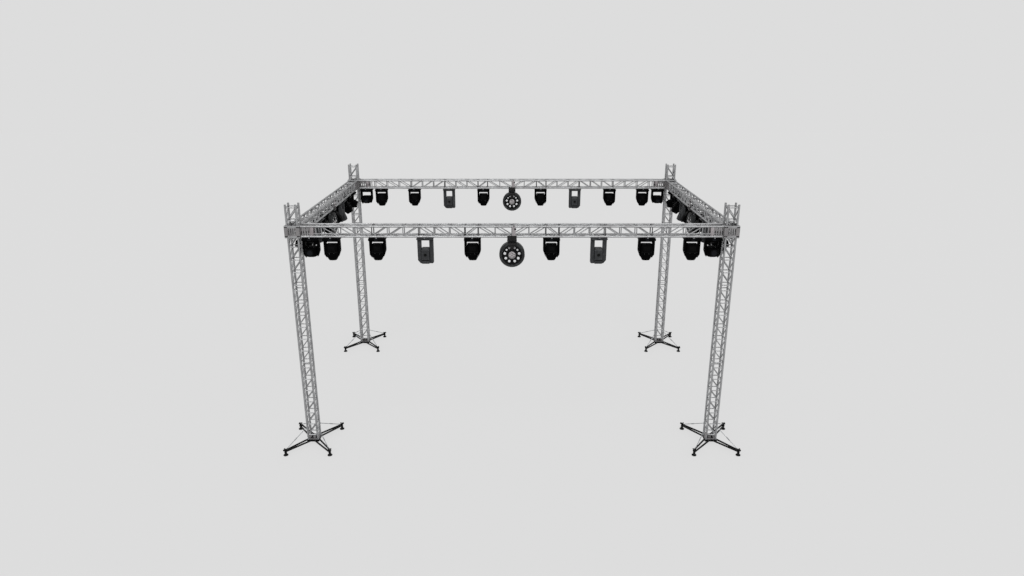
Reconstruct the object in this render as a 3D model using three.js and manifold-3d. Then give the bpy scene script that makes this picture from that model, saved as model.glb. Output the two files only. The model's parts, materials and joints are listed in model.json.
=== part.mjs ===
import * as THREE from 'three';
import { mergeVertices } from 'three/addons/utils/BufferGeometryUtils.js';
import Module from 'manifold-3d';

// Ground-support stage truss: four lattice towers carry a rectangular truss grid on sleeve blocks that slide
// up and down the towers. Moving-head lights and round lamp clusters hang under the grid. Millimetres, +Z up,
// +X to the right and +Y to the back; the origin is on the floor in the middle of the rig.

// Rig
const span_x = 10200; // tower centre to tower centre, across the front
const span_y = 6560; // tower centre to tower centre, front to back
const grid_height = 5600; // floor to the centre line of the grid
const mast_above_grid = 630; // from there to the top of a tower
const mast_foot = 200; // floor to the underside of a tower's tubes

// Box truss
const chord_spacing = 240; // centre to centre of the four main tubes
const chord_d = 50; // main tube
const brace_d = 20; // lattice tube
const mast_stub = 135; // tube end to the first rung of a tower section
const beam_stub = 70; // tube end to the first post of a beam
const mast_sections = 2;
const mast_bay_target = 960; // wished length of one lattice bay
const beam_bay_target = 886;

// Sleeve blocks
const block_reach = 600; // tower centre to the end of a block's leg
const block_wall = 34; // thickness of the sleeve's rings
const block_lip = 2; // how far the rings stand past the grid's tubes, above and below
const glide_length = 40; // corner glide along each side of its ring
const leg_post_inset = 60; // end of a leg to its end posts

// Ground bases
const foot_x = 550; // tower centre to a foot, across
const foot_y = 655; // tower centre to a foot, front to back
const pad_d = 120; // foot plate
const pad_h = 14;
const jack_d = 62; // sleeve of the levelling screw
const jack_top = 180;
const handle_length = 150; // cross handle on top of the screw
const handle_w = 28;
const handle_h = 24;
const screw_d = 36;
const screw_length = 80; // bare screw between the foot plate and its sleeve
const ring_size = 310; // base frame, outside
const ring_rail = 70; // width of its rails
const ring_low = 90; // floor to the underside of the frame
const ring_h = 60;
const spigot_d = 42; // coupler between the frame and a tower tube
const outrigger_w = 30; // one of the two rails of an outrigger
const outrigger_h = 40;
const outrigger_root = 150; // over both rails at the frame
const outrigger_tip = 50; // and at the jack
const outrigger_start = 130; // tower centre to where the rails begin, inside the frame
const outrigger_web = 110; // length of the solid end plate at the jack
const stay_d = 14; // brace from an outrigger's end up to the tower
const stay_height = 470; // floor to the stay's upper end

// Hanging lights, measured down from the grid's centre line
const fixture_length = 385; // yoke, outside, along the beam
const base_length = 392; // base housing along the beam
const base_depth = 300; // and across it
const base_drop = 170; // top of the base housing
const base_h = 50;
const stem_length = 44; // clamp stem along the tube
const stem_w = 18; // and across it
const crossbar_h = 43;
const arm_depth = 120;
const spot_drop = 500; // tilt axis of a spot
const spot_w = 270; // body between the arms
const spot_depth = 240;
const spot_rear = 185; // tilt axis to the back of the body
const spot_front = 205; // tilt axis to the lens end
const spot_lens = 180; // lens barrel across
const spot_shoulder = 120; // tilt axis to where the body begins to narrow to its lens
const spot_shoulder_w = 260;
const spot_shoulder_depth = 220;
const spot_cut = 48; // cut corners of the body
const spot_outer_corner = 70; // tilt axis down to the cut of the arm that is away from the beam's middle
const spot_outer_tail = 145; // and to its end
const spot_inner_corner = -15; // the same on the arm towards the middle, whose cut begins above the axis
const spot_inner_tail = 120;
const spot_foot_share = 0.08; // width of an arm's end, as a share of the arm
const panel_drop = 600; // tilt axis of a wash light
const panel_length = 370;
const panel_w = 190;
const panel_depth = 200;
const panel_rear = 185;
const panel_front = 190;
const panel_cut = 25;
const panel_base_h = 24;
const panel_crossbar_h = 34;
const panel_outer_corner = 150;
const panel_inner_corner = 165;
const panel_arm_tail = 185;
const panel_outer_foot_share = 0.5;
const panel_inner_foot_share = 0.83;
const round_d = 600; // round lamp cluster
const round_depth = 250;
const round_rim = 42; // bevel of the rim
const round_drop = 570; // its centre
const round_axis_drop = 240; // its tilt axis, above the housing
const round_neck_w = 220;
const round_plate_h = 22;
const ear_w = 30;
const ear_depth = 60;
const ear_tail = 24;
const strap_w = 130; // flat strap from the bracket up the truss's viewed side
const strap_t = 8;

// Clearances
const run_gap = 0.3; // between pieces that touch or turn
const weld_sink = 1; // how far joined pieces run into each other
const merge_distance = 0.0003; // corners this close are one corner

// Number of flats on each kind of round piece
const chord_sides = 8;
const brace_sides = 3;
const spigot_sides = 4;
const jack_sides = 6;
const round_sides = 16;

// Places of the lights, as shares of half a beam's length. Those at the corners hang from the sleeve blocks.
const front_shares = [-0.941, -0.703, -0.453, -0.206, 0, 0.206, 0.453, 0.703, 0.941];
const side_shares = [-0.979, -0.747, -0.485, -0.22, 0, 0.22, 0.485, 0.747, 0.979];
const corner_light = 377; // tower centre to the light under its sleeve block
const front_kinds = [
  'spot', 'spot', 'spot', 'panel', 'spot', 'round', 'spot', 'panel', 'spot', 'spot', 'spot',
];
const side_kinds = ['spot', 'spot', 'panel', 'spot', 'round', 'spot', 'panel', 'spot', 'spot'];

// How far each head is tilted at rest, lens towards the beam's inner or viewed side, in degrees
const front_tilts = [90, 0, 0, 0, 0, 0, 0, 0, 0, 0, 90];
const side_tilts = [75, 30, 20, 40, 0, 40, 20, 30, 75];

// Numbers of the front lights, from the left, whose yokes are pieces of their own, turning under their bases
const panned_numbers = [4, 5, 7, 8];

const mast_top = grid_height + mast_above_grid;
const half_chord = chord_d / 2;
const half_spacing = chord_spacing / 2;
const envelope = half_spacing + half_chord;

const wasm = await Module();
wasm.setup();

const aluminium = { color: 0xb9bbbd, roughness: 0.36, metalness: 1.0 };
const black_steel = { color: 0x131314, roughness: 0.5, metalness: 0.4 };
const black_housing = { color: 0x0b0b0c, roughness: 0.55, metalness: 0.0 };
const grey_housing = { color: 0x3a3b3d, roughness: 0.6, metalness: 0.0 };
const round_housing = { color: 0x1c1d1f, roughness: 0.5, metalness: 0.1 };

// A closed three.js geometry becomes a solid that can be joined and cut
function solid(geometry) {
  const bare = geometry.clone();
  bare.deleteAttribute('normal');
  bare.deleteAttribute('uv');
  const merged = mergeVertices(bare, merge_distance);
  return new wasm.Manifold(new wasm.Mesh({
    numProp: 3,
    vertProperties: new Float32Array(merged.attributes.position.array),
    triVerts: new Uint32Array(merged.index.array),
  }));
}

// A solid becomes a geometry again
function geometryOf(body) {
  const mesh = body.getMesh();
  const geometry = new THREE.BufferGeometry();
  geometry.setAttribute('position', new THREE.BufferAttribute(new Float32Array(mesh.vertProperties), 3));
  geometry.setIndex(new THREE.BufferAttribute(new Uint32Array(mesh.triVerts), 1));
  geometry.computeVertexNormals();
  return geometry;
}

// Joins solids pair by pair, so that no step grows too large
function join(solids) {
  let parts = solids;
  while (parts.length > 1) {
    const next = [];
    for (let i = 0; i < parts.length; i += 2) {
      next.push(i + 1 < parts.length ? parts[i].add(parts[i + 1]) : parts[i]);
    }
    parts = next;
  }
  return parts[0];
}

// A block from its lowest and highest corners, in either order
function block(from, to) {
  const size = from.map((low, i) => Math.abs(to[i] - low));
  const centre = from.map((low, i) => (to[i] + low) / 2);
  return solid(new THREE.BoxGeometry(...size).translate(...centre));
}

// A straight three-sided bar from a to b, its width across a face. One of its edges points along the normal.
function bar(a, b, width, normal) {
  const start = new THREE.Vector3(...a);
  const end = new THREE.Vector3(...b);
  const along = end.clone().sub(start);
  const across = new THREE.Vector3(...normal);
  const third = across.clone().cross(along.clone().normalize());
  const turn = new THREE.Matrix4().makeBasis(across, along.clone().normalize(), third);
  const radius = width / Math.sqrt(3);
  const geometry = new THREE.CylinderGeometry(radius, radius, along.length(), brace_sides);
  geometry.applyMatrix4(turn);
  geometry.translate(...start.add(end).multiplyScalar(0.5).toArray());
  return solid(geometry);
}

// A main tube: eight flats, one facing each way across, the true width between flats
function chord(a, b) {
  const along = new THREE.Vector3(...b).sub(new THREE.Vector3(...a));
  const radius = half_chord / Math.cos(Math.PI / chord_sides);
  const geometry = new THREE.CylinderGeometry(radius, radius, along.length(), chord_sides);
  geometry.rotateY(Math.PI / chord_sides);
  const up = new THREE.Vector3(0, 1, 0);
  geometry.applyQuaternion(new THREE.Quaternion().setFromUnitVectors(up, along.clone().normalize()));
  const middle = new THREE.Vector3(...a).add(new THREE.Vector3(...b)).multiplyScalar(0.5);
  geometry.translate(...middle.toArray());
  return solid(geometry);
}

// A tube of the lattice
function brace(a, b, normal) {
  return bar(a, b, brace_d, normal);
}

// Upright prism of a few sides, between two heights
function post(x, y, low, high, d, sides) {
  const geometry = new THREE.CylinderGeometry(d / 2, d / 2, high - low, sides);
  geometry.rotateX(Math.PI / 2);
  geometry.translate(x, y, (low + high) / 2);
  return solid(geometry);
}

// The four tubes of a truss along X, between two ends
function chords(from, to) {
  const tubes = [];
  for (const y of [-half_spacing, half_spacing]) {
    for (const z of [-half_spacing, half_spacing]) {
      tubes.push(chord([from, y, z], [to, y, z]));
    }
  }
  return tubes;
}

// The four faces of a truss: where a point at a share of the way across lies, and the face's normal
const faces = [
  { at: (x, v) => [x, -half_spacing, v * half_spacing], normal: [0, 1, 0] },
  { at: (x, v) => [x, half_spacing, -v * half_spacing], normal: [0, 1, 0] },
  { at: (x, v) => [x, v * half_spacing, half_spacing], normal: [0, 0, 1] },
  { at: (x, v) => [x, -v * half_spacing, -half_spacing], normal: [0, 0, 1] },
];

// Zigzag of diagonals on one face, between two stations
function zigzag(face, from, to, bays) {
  const pitch = (to - from) / bays;
  const braces = [];
  for (let i = 0; i < bays; i += 1) {
    const side = i % 2 ? 1 : -1;
    braces.push(brace(face.at(from + i * pitch, side), face.at(from + (i + 1) * pitch, -side), face.normal));
  }
  return braces;
}

// A rung straight across one face
function rung(face, x) {
  return brace(face.at(x, -1), face.at(x, 1), face.normal);
}

// Beam: posts and diagonals on the upright faces, and a wide zigzag on top.
// The underside stays open for the lights' clamps.
function beamTruss(length) {
  const from = -length / 2 + beam_stub;
  const to = length / 2 - beam_stub;
  const bays = 2 * Math.round((to - from) / beam_bay_target / 2);
  const pitch = (to - from) / bays;
  const solids = chords(-length / 2, length / 2);
  const [front, back, top] = faces;
  for (const face of [front, back]) {
    for (let i = 0; i <= bays; i += 1) {
      solids.push(rung(face, from + i * pitch));
    }
    solids.push(...zigzag(face, from, to, bays));
  }
  solids.push(...zigzag(top, from, to, bays / 2));
  return join(solids);
}

// Tower: rungs at its ends and where its sections meet, and zigzags on all four faces, turned to stand up
function mastTruss() {
  const length = mast_top - mast_foot;
  const section = (length - 2 * mast_stub) / mast_sections;
  const bays = Math.round(section / mast_bay_target);
  const solids = chords(0, length);
  for (const face of faces) {
    for (let i = 0; i < mast_sections; i += 1) {
      const from = mast_stub + i * section;
      solids.push(rung(face, from));
      solids.push(...zigzag(face, from, from + section, bays));
    }
    solids.push(rung(face, length - mast_stub));
  }
  return geometryOf(join(solids)).rotateY(-Math.PI / 2).translate(0, 0, mast_foot);
}

// A ring of square outline, between two heights
function squareRing(outer, inner, low, high) {
  const corners = [[-1, -1], [1, -1], [1, 1], [-1, 1]];
  const square = (size) => corners.map(([x, y]) => new THREE.Vector2(x * size / 2, y * size / 2));
  const outline = new THREE.Shape(square(outer));
  outline.holes.push(new THREE.Path(square(inner).reverse()));
  const geometry = new THREE.ExtrudeGeometry(outline, { depth: high - low, bevelEnabled: false });
  return solid(geometry.translate(0, 0, low));
}

// Base: square frame with couplers, four outriggers of two rails, levelling jacks and stays
function groundBase() {
  const ring_top = ring_low + ring_h;
  const rail_low = ring_low + (ring_h - outrigger_h) / 2;
  const solids = [squareRing(ring_size, ring_size - 2 * ring_rail, ring_low, ring_top)];
  const sleeve_top = jack_top - handle_h + weld_sink;
  const reach = Math.hypot(foot_x, foot_y);
  for (const sx of [-1, 1]) {
    for (const sy of [-1, 1]) {
      const x = sx * foot_x;
      const y = sy * foot_y;
      const tube = [sx * half_spacing, sy * half_spacing];
      solids.push(post(...tube, ring_top - weld_sink, mast_foot - run_gap, spigot_d, spigot_sides));
      solids.push(post(x, y, 0, pad_h, pad_d, jack_sides));
      solids.push(post(x, y, pad_h - weld_sink, pad_h + screw_length, screw_d, jack_sides));
      solids.push(post(x, y, pad_h + screw_length - weld_sink, sleeve_top, jack_d, jack_sides));
      solids.push(jackHandle(x, y));
      solids.push(outrigger(reach, rail_low, Math.atan2(y, x)));
      solids.push(stay(sx, sy, x, y));
    }
  }
  return geometryOf(join(solids));
}

// The bar across the top of a jack, square to its outrigger
function jackHandle(x, y) {
  const geometry = new THREE.BoxGeometry(handle_w, handle_length, handle_h);
  return solid(geometry.rotateZ(Math.atan2(y, x)).translate(x, y, jack_top - handle_h / 2));
}

// An outrigger: two rails that run together into an end plate at the jack, turned to point at the foot
function outrigger(reach, low, turn) {
  const root = outrigger_root / 2;
  const tip = outrigger_tip / 2;
  const frame = new THREE.Shape([
    [outrigger_start, -root], [reach, -tip], [reach, tip], [outrigger_start, root],
  ].map(([x, y]) => new THREE.Vector2(x, y)));
  const slope = (root - tip) / (reach - outrigger_start);
  const slot_start = outrigger_start + outrigger_w;
  const slot_end = reach - outrigger_web;
  const half = (x) => root - slope * (x - outrigger_start) - outrigger_w;
  frame.holes.push(new THREE.Path([
    [slot_start, -half(slot_start)], [slot_start, half(slot_start)], [slot_end, 0],
  ].map(([x, y]) => new THREE.Vector2(x, y))));
  const geometry = new THREE.ExtrudeGeometry(frame, { depth: outrigger_h, bevelEnabled: false });
  return solid(geometry.translate(0, 0, low).rotateZ(turn));
}

// A stay from under a jack's handle up to the tower's outer corner tube, cut off square against it
function stay(sx, sy, x, y) {
  const face = sx * (envelope + run_gap);
  const from = [x, y, jack_top - handle_h - stay_d];
  const to = [face - sx * stay_d, sy * half_spacing, stay_height];
  const plan = new THREE.Vector3(from[1] - to[1], to[0] - from[0], 0).normalize().toArray();
  const tower = block(
    [face, to[1] - chord_d, to[2] - chord_d],
    [face - sx * chord_d, to[1] + chord_d, to[2] + chord_d],
  );
  return bar(from, to, stay_d, plan).subtract(tower);
}

// Sleeve block: two rings and four corner glides round the tower, two short truss legs, and the hanger of the
// light that it carries. toX and toY say which way the legs point.
function sleeveBlock(toX, toY, lightHanger) {
  const outer = 2 * (envelope + block_wall);
  const inner = 2 * (envelope + run_gap);
  const ring_reach = envelope + block_lip;
  const solids = [
    squareRing(outer, inner, half_spacing - half_chord, ring_reach),
    squareRing(outer, inner, -ring_reach, half_chord - half_spacing),
  ];
  for (const sx of [-1, 1]) {
    for (const sy of [-1, 1]) {
      solids.push(cornerGlide(sx, sy, inner / 2, outer / 2, half_spacing));
    }
  }
  solids.push(...leg(toX, 0, outer / 2), ...leg(0, toY, outer / 2));
  return join([...solids, ...lightHanger]);
}

// An angle between the rings that runs on one of the tower's tubes
function cornerGlide(sx, sy, inner, outer, reach) {
  const back = inner - glide_length;
  const outline = new THREE.Shape([
    [outer, outer], [back, outer], [back, inner], [inner, inner], [inner, back], [outer, back],
  ].map(([x, y]) => new THREE.Vector2(x * sx, y * sy)));
  const depth = 2 * reach;
  return solid(new THREE.ExtrudeGeometry(outline, { depth, bevelEnabled: false }).translate(0, 0, -reach));
}

// A block's leg: four tube ends, joined near their free ends by two posts and two rungs
function leg(dx, dy, start) {
  const at = (along, across, z) => [along * dx + across * dy, along * dy + across * dx, z];
  const from = start - weld_sink;
  const to = block_reach - run_gap;
  const station = block_reach - leg_post_inset;
  const normal = [Math.abs(dy), Math.abs(dx), 0];
  const solids = [];
  for (const side of [-half_spacing, half_spacing]) {
    for (const z of [-half_spacing, half_spacing]) {
      solids.push(chord(at(from, side, z), at(to, side, z)));
    }
    solids.push(brace(at(station, side, -half_spacing), at(station, side, half_spacing), normal));
    solids.push(brace(at(station, -half_spacing, side), at(station, half_spacing, side), [0, 0, 1]));
  }
  return solids;
}

// Two clamp stems from a light's base up into the lower tubes
function clampStems(x, low) {
  const high = -half_spacing - half_chord / 2;
  return [-half_spacing, half_spacing].map((y) => block(
    [x - stem_length / 2, y - stem_w / 2, low],
    [x + stem_length / 2, y + stem_w / 2, high],
  ));
}

// Sizes of the two kinds of moving head, one table for both
const kinds = {
  spot: {
    length: fixture_length, body_w: spot_w, base_h, crossbar_h, drop: spot_drop,
    outer: { corner: spot_outer_corner, tail: spot_outer_tail, foot_share: spot_foot_share },
    inner: { corner: spot_inner_corner, tail: spot_inner_tail, foot_share: spot_foot_share },
  },
  panel: {
    length: panel_length, body_w: panel_w, base_h: panel_base_h, crossbar_h: panel_crossbar_h,
    drop: panel_drop,
    outer: { corner: panel_outer_corner, tail: panel_arm_tail, foot_share: panel_outer_foot_share },
    inner: { corner: panel_inner_corner, tail: panel_arm_tail, foot_share: panel_inner_foot_share },
  },
};

// Base housing with its clamps, at a place along the beam
function lightBase(kind, x) {
  const low = -base_drop - kinds[kind].base_h;
  return [
    block([x - base_length / 2, -base_depth / 2, low], [x + base_length / 2, base_depth / 2, -base_drop]),
    ...clampStems(x, -base_drop - weld_sink),
  ];
}

// Yoke: a cross bar and two arms, as one outline. top is its height under the base, and outward the side of
// its outer arm, 1 or -1: the arms end in cuts that differ.
function yoke(kind, x, top, outward) {
  const k = kinds[kind];
  const out = k.length / 2;
  const inside = k.body_w / 2 + run_gap;
  const under = -base_drop - k.base_h - k.crossbar_h;
  const arm = (side, { corner, tail, foot_share }) => [
    [side * out, top],
    [side * out, -k.drop - corner],
    [side * (inside + foot_share * (out - inside)), -k.drop - tail],
    [side * inside, -k.drop - tail],
    [side * inside, under],
  ];
  const points = [...arm(outward, k.outer), ...arm(-outward, k.inner).reverse()];
  const outline = new THREE.Shape(points.map(([px, pz]) => new THREE.Vector2(px, pz)));
  const geometry = new THREE.ExtrudeGeometry(outline, { depth: arm_depth, bevelEnabled: false });
  return geometry.rotateX(Math.PI / 2).translate(x, arm_depth / 2, 0);
}

// Top of a yoke that is one piece with its base, and of one that turns under it
const yokeTop = (kind, turns) => -base_drop - kinds[kind].base_h + (turns ? -run_gap : weld_sink);

// Bracket of a round cluster: a plate under the tubes, a strap up their viewed side, and two ears that hold
// its tilt axis
function roundBracket(x) {
  const plate_low = -base_drop - round_plate_h;
  const half = round_neck_w / 2;
  const solids = [
    block([x - half, -base_depth / 2, plate_low], [x + half, base_depth / 2, -base_drop]),
    block(
      [x - strap_w / 2, -envelope - strap_t, plate_low],
      [x + strap_w / 2, weld_sink - envelope, half_spacing],
    ),
    ...clampStems(x, -base_drop - weld_sink),
  ];
  for (const side of [-1, 1]) {
    solids.push(block(
      [x + side * half, -ear_depth / 2, -round_axis_drop - ear_tail],
      [x + side * (half - ear_w), ear_depth / 2, plate_low + weld_sink],
    ));
  }
  return solids;
}

// The part of a light that belongs to its beam. outward points away from the middle of the rig.
function hanger(kind, x, turns, outward) {
  if (kind === 'round') {
    return roundBracket(x);
  }
  const base = lightBase(kind, x);
  return turns ? base : [...base, solid(yoke(kind, x, yokeTop(kind, false), outward))];
}

// Rings, each a rectangle with cut corners, skinned from one to the next
function loft(rings) {
  const layers = rings.map(({ z, w, d, cut }) => [
    [w / 2, d / 2 - cut], [w / 2 - cut, d / 2], [cut - w / 2, d / 2], [-w / 2, d / 2 - cut],
    [-w / 2, cut - d / 2], [cut - w / 2, -d / 2], [w / 2 - cut, -d / 2], [w / 2, cut - d / 2],
  ].map(([x, y]) => [x, y, z]));
  const points = layers.flat(2);
  const sides = layers[0].length;
  const index = [];
  for (let r = 0; r + 1 < rings.length; r += 1) {
    for (let i = 0; i < sides; i += 1) {
      const a = r * sides + i;
      const b = r * sides + (i + 1) % sides;
      index.push(a, b, b + sides, a, b + sides, a + sides);
    }
  }
  const top = (rings.length - 1) * sides;
  for (let i = 1; i + 1 < sides; i += 1) {
    index.push(0, i + 1, i, top, top + i, top + i + 1);
  }
  const geometry = new THREE.BufferGeometry();
  geometry.setAttribute('position', new THREE.Float32BufferAttribute(points, 3));
  geometry.setIndex(index);
  geometry.computeVertexNormals();
  return geometry;
}

// Spot: a body that is widest at its tilt axis and narrows to its back, to its shoulder and then more to its
// lens, lens down
function spotHead() {
  const cut = spot_cut;
  return loft([
    { z: -spot_front, w: spot_lens, d: spot_lens, cut },
    { z: -spot_shoulder, w: spot_shoulder_w, d: spot_shoulder_depth, cut },
    { z: 0, w: spot_w, d: spot_depth, cut },
    { z: spot_rear, w: spot_w - 2 * cut, d: spot_depth - 2 * cut, cut },
  ]);
}

// Wash light: a tall narrow body with a stepped back
function panelHead() {
  const cut = panel_cut;
  const shoulder = panel_rear - 2 * cut;
  return loft([
    { z: -panel_front, w: panel_w, d: panel_depth, cut },
    { z: shoulder, w: panel_w, d: panel_depth, cut },
    { z: panel_rear, w: panel_w - 2 * cut, d: panel_depth - 2 * cut, cut },
  ]);
}

// Round cluster: a drum with bevelled rims, its lug between the bracket's ears, about its tilt axis
function roundHead() {
  const r = round_d / 2;
  const half = round_depth / 2;
  const rim = round_rim;
  const centre = round_axis_drop - round_drop;
  const profile = [
    [0, -half], [r - rim, -half], [r, rim - half], [r, half - rim], [r - 2 * rim, half], [0, half],
  ].map(([px, py]) => new THREE.Vector2(px, py));
  const drum = new THREE.LatheGeometry(profile, round_sides).translate(0, 0, centre);
  const lug_half = round_neck_w / 2 - ear_w - run_gap;
  const lug = block(
    [-lug_half, -ear_depth / 2 + run_gap, centre + r - rim],
    [lug_half, ear_depth / 2 - run_gap, ear_tail],
  );
  return geometryOf(solid(drum).add(lug));
}

const heads = {
  spot: { geometry: spotHead(), drop: spot_drop, finish: black_housing },
  panel: { geometry: panelHead(), drop: panel_drop, finish: grey_housing },
  round: { geometry: roundHead(), drop: round_axis_drop, finish: round_housing },
};

const rig = new THREE.Group();

function addMesh(parent, name, geometry, finish, place = [0, 0, 0]) {
  const mesh = new THREE.Mesh(geometry, new THREE.MeshStandardMaterial(finish));
  mesh.name = name;
  mesh.position.set(...place);
  parent.add(mesh);
  return mesh;
}

// A head at its place under a beam, tilted about its axis
function addHead(parent, name, kind, x, tilt) {
  const head = heads[kind];
  const mesh = addMesh(parent, name, head.geometry, head.finish, [x, 0, -head.drop]);
  mesh.rotation.x = -THREE.MathUtils.degToRad(tilt);
}

// The frame of one beam: along its X, with its inner or viewed side towards its -Y
function beamFrame(x, y, turn) {
  const frame = new THREE.Group();
  frame.position.set(x, y, grid_height);
  frame.rotation.z = turn;
  rig.add(frame);
  return frame;
}

// Front and rear beams. The outermost lights hang from the sleeve blocks' legs.
function addLongBeam(name, y, turning) {
  const frame = beamFrame(0, y, 0);
  const length = span_x - 2 * block_reach;
  const corner = span_x / 2 - corner_light;
  const places = [-corner, ...front_shares.map((share) => share * length / 2), corner];
  const lights = places.map((x, i) => ({ x, number: i + 1, kind: front_kinds[i], tilt: front_tilts[i] }));
  const onBeam = lights.slice(1, -1);
  const hangers = onBeam.flatMap(({ kind, x, number }) => (
    hanger(kind, x, turning.includes(number), Math.sign(x))
  ));
  const beam = join([beamTruss(length), ...hangers]);
  addMesh(frame, `beam_${name}`, geometryOf(beam), aluminium);
  for (const { kind, x, number, tilt } of lights) {
    addHead(frame, `head_${name}_${number}`, kind, x, tilt);
    if (turning.includes(number)) {
      const geometry = yoke(kind, 0, yokeTop(kind, true), Math.sign(x));
      addMesh(frame, `yoke_${name}_${number}`, geometry, heads[kind].finish, [x, 0, 0]);
    }
  }
}

// Left and right beams, numbered from front to back on both sides
function addSideBeam(name, side) {
  const frame = beamFrame(side * span_x / 2, 0, -side * Math.PI / 2);
  const length = span_y - 2 * block_reach;
  const places = side_shares.map((share) => -side * share * length / 2);
  const hangers = places.flatMap((x, i) => hanger(side_kinds[i], x, false, Math.sign(x)));
  const beam = join([beamTruss(length), ...hangers]);
  addMesh(frame, `beam_${name}`, geometryOf(beam), aluminium);
  places.forEach((x, i) => addHead(frame, `head_${name}_${i + 1}`, side_kinds[i], x, side_tilts[i]));
}

// A corner of the rig: base, tower and sleeve block, with the light that hangs from the block's leg
function addCorner(name, sx, sy) {
  const x = sx * span_x / 2;
  const y = sy * span_y / 2;
  addMesh(rig, `base_${name}`, groundBase(), black_steel, [x, y, 0]);
  addMesh(rig, `mast_${name}`, mastTruss(), aluminium, [x, y, 0]);
  const sleeve = sleeveBlock(-sx, -sy, hanger('spot', -sx * corner_light, false, sx));
  addMesh(rig, `sleeve_block_${name}`, geometryOf(sleeve), aluminium, [x, y, grid_height]);
}

addCorner('front_left', -1, -1);
addCorner('front_right', 1, -1);
addCorner('rear_left', -1, 1);
addCorner('rear_right', 1, 1);
addLongBeam('front', -span_y / 2, panned_numbers);
addLongBeam('rear', span_y / 2, []);
addSideBeam('left', -1);
addSideBeam('right', 1);

export default rig;
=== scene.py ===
"""Ground-support stage truss: four lattice towers, a truss grid on sleeve blocks, and the lights under it."""
import json
import logging
import math
from collections.abc import Callable, Iterable, Sequence
from dataclasses import dataclass, field
from enum import Enum

import bmesh
import bpy
from mathutils import Matrix, Vector

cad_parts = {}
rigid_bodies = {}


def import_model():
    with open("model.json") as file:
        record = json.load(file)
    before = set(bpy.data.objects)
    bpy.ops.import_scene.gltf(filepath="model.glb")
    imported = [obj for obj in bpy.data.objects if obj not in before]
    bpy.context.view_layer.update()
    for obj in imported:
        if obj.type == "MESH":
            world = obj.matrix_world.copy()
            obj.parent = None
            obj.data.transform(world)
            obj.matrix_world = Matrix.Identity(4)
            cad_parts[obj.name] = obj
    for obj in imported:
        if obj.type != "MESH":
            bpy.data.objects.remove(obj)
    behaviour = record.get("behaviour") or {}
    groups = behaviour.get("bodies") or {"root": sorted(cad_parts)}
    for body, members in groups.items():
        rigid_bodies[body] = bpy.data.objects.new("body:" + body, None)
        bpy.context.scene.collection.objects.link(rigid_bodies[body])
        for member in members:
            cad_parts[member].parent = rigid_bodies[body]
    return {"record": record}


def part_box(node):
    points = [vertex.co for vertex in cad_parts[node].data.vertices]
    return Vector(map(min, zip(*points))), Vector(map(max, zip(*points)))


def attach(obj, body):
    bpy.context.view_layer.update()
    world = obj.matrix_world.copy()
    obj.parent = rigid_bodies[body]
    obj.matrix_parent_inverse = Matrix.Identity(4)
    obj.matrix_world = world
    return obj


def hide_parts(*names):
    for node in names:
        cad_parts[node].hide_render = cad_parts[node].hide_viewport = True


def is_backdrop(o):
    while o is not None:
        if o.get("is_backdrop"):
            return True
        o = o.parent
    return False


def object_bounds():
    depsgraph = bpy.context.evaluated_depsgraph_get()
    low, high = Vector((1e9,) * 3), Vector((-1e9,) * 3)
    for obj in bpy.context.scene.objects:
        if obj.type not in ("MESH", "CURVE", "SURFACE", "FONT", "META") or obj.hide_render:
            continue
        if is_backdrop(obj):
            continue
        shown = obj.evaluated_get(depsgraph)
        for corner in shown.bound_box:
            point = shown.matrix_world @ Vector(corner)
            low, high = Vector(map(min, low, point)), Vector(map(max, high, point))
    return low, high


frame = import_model()
CAD_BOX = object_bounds()

log = logging.getLogger("stage_truss")
Point = tuple[float, float, float]
Flat = tuple[float, float]
Socket = bpy.types.NodeSocket
Material = bpy.types.Material

# The photograph's camera: where it stands, how far it looks down, and its lens on a 36 mm sensor
CAMERA_PLACE = (0.0, -19.174, 9.348)
CAMERA_PITCH = math.radians(71.995)
CAMERA_LENS = 24.44

# The backdrop's grey, and the angle between two faces from which their edge is sharp
BACKDROP = 0.723
SHARP = math.radians(35)

# Truss section, and the reach of a sleeve block's legs from the tower's middle
CHORD_GAP = 0.24
CHORD_R = 0.025
BRACE_R = 0.0125
BEAD_R = 0.0035
ENVELOPE = CHORD_GAP / 2 + CHORD_R
BLOCK_REACH = 0.6

# From the top of a light's base up to the middle of the beam, and the base's depth across the beam
HANG = 0.170
BASE_DEPTH = 0.3
UP = Vector((0, 0, 1))


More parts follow.
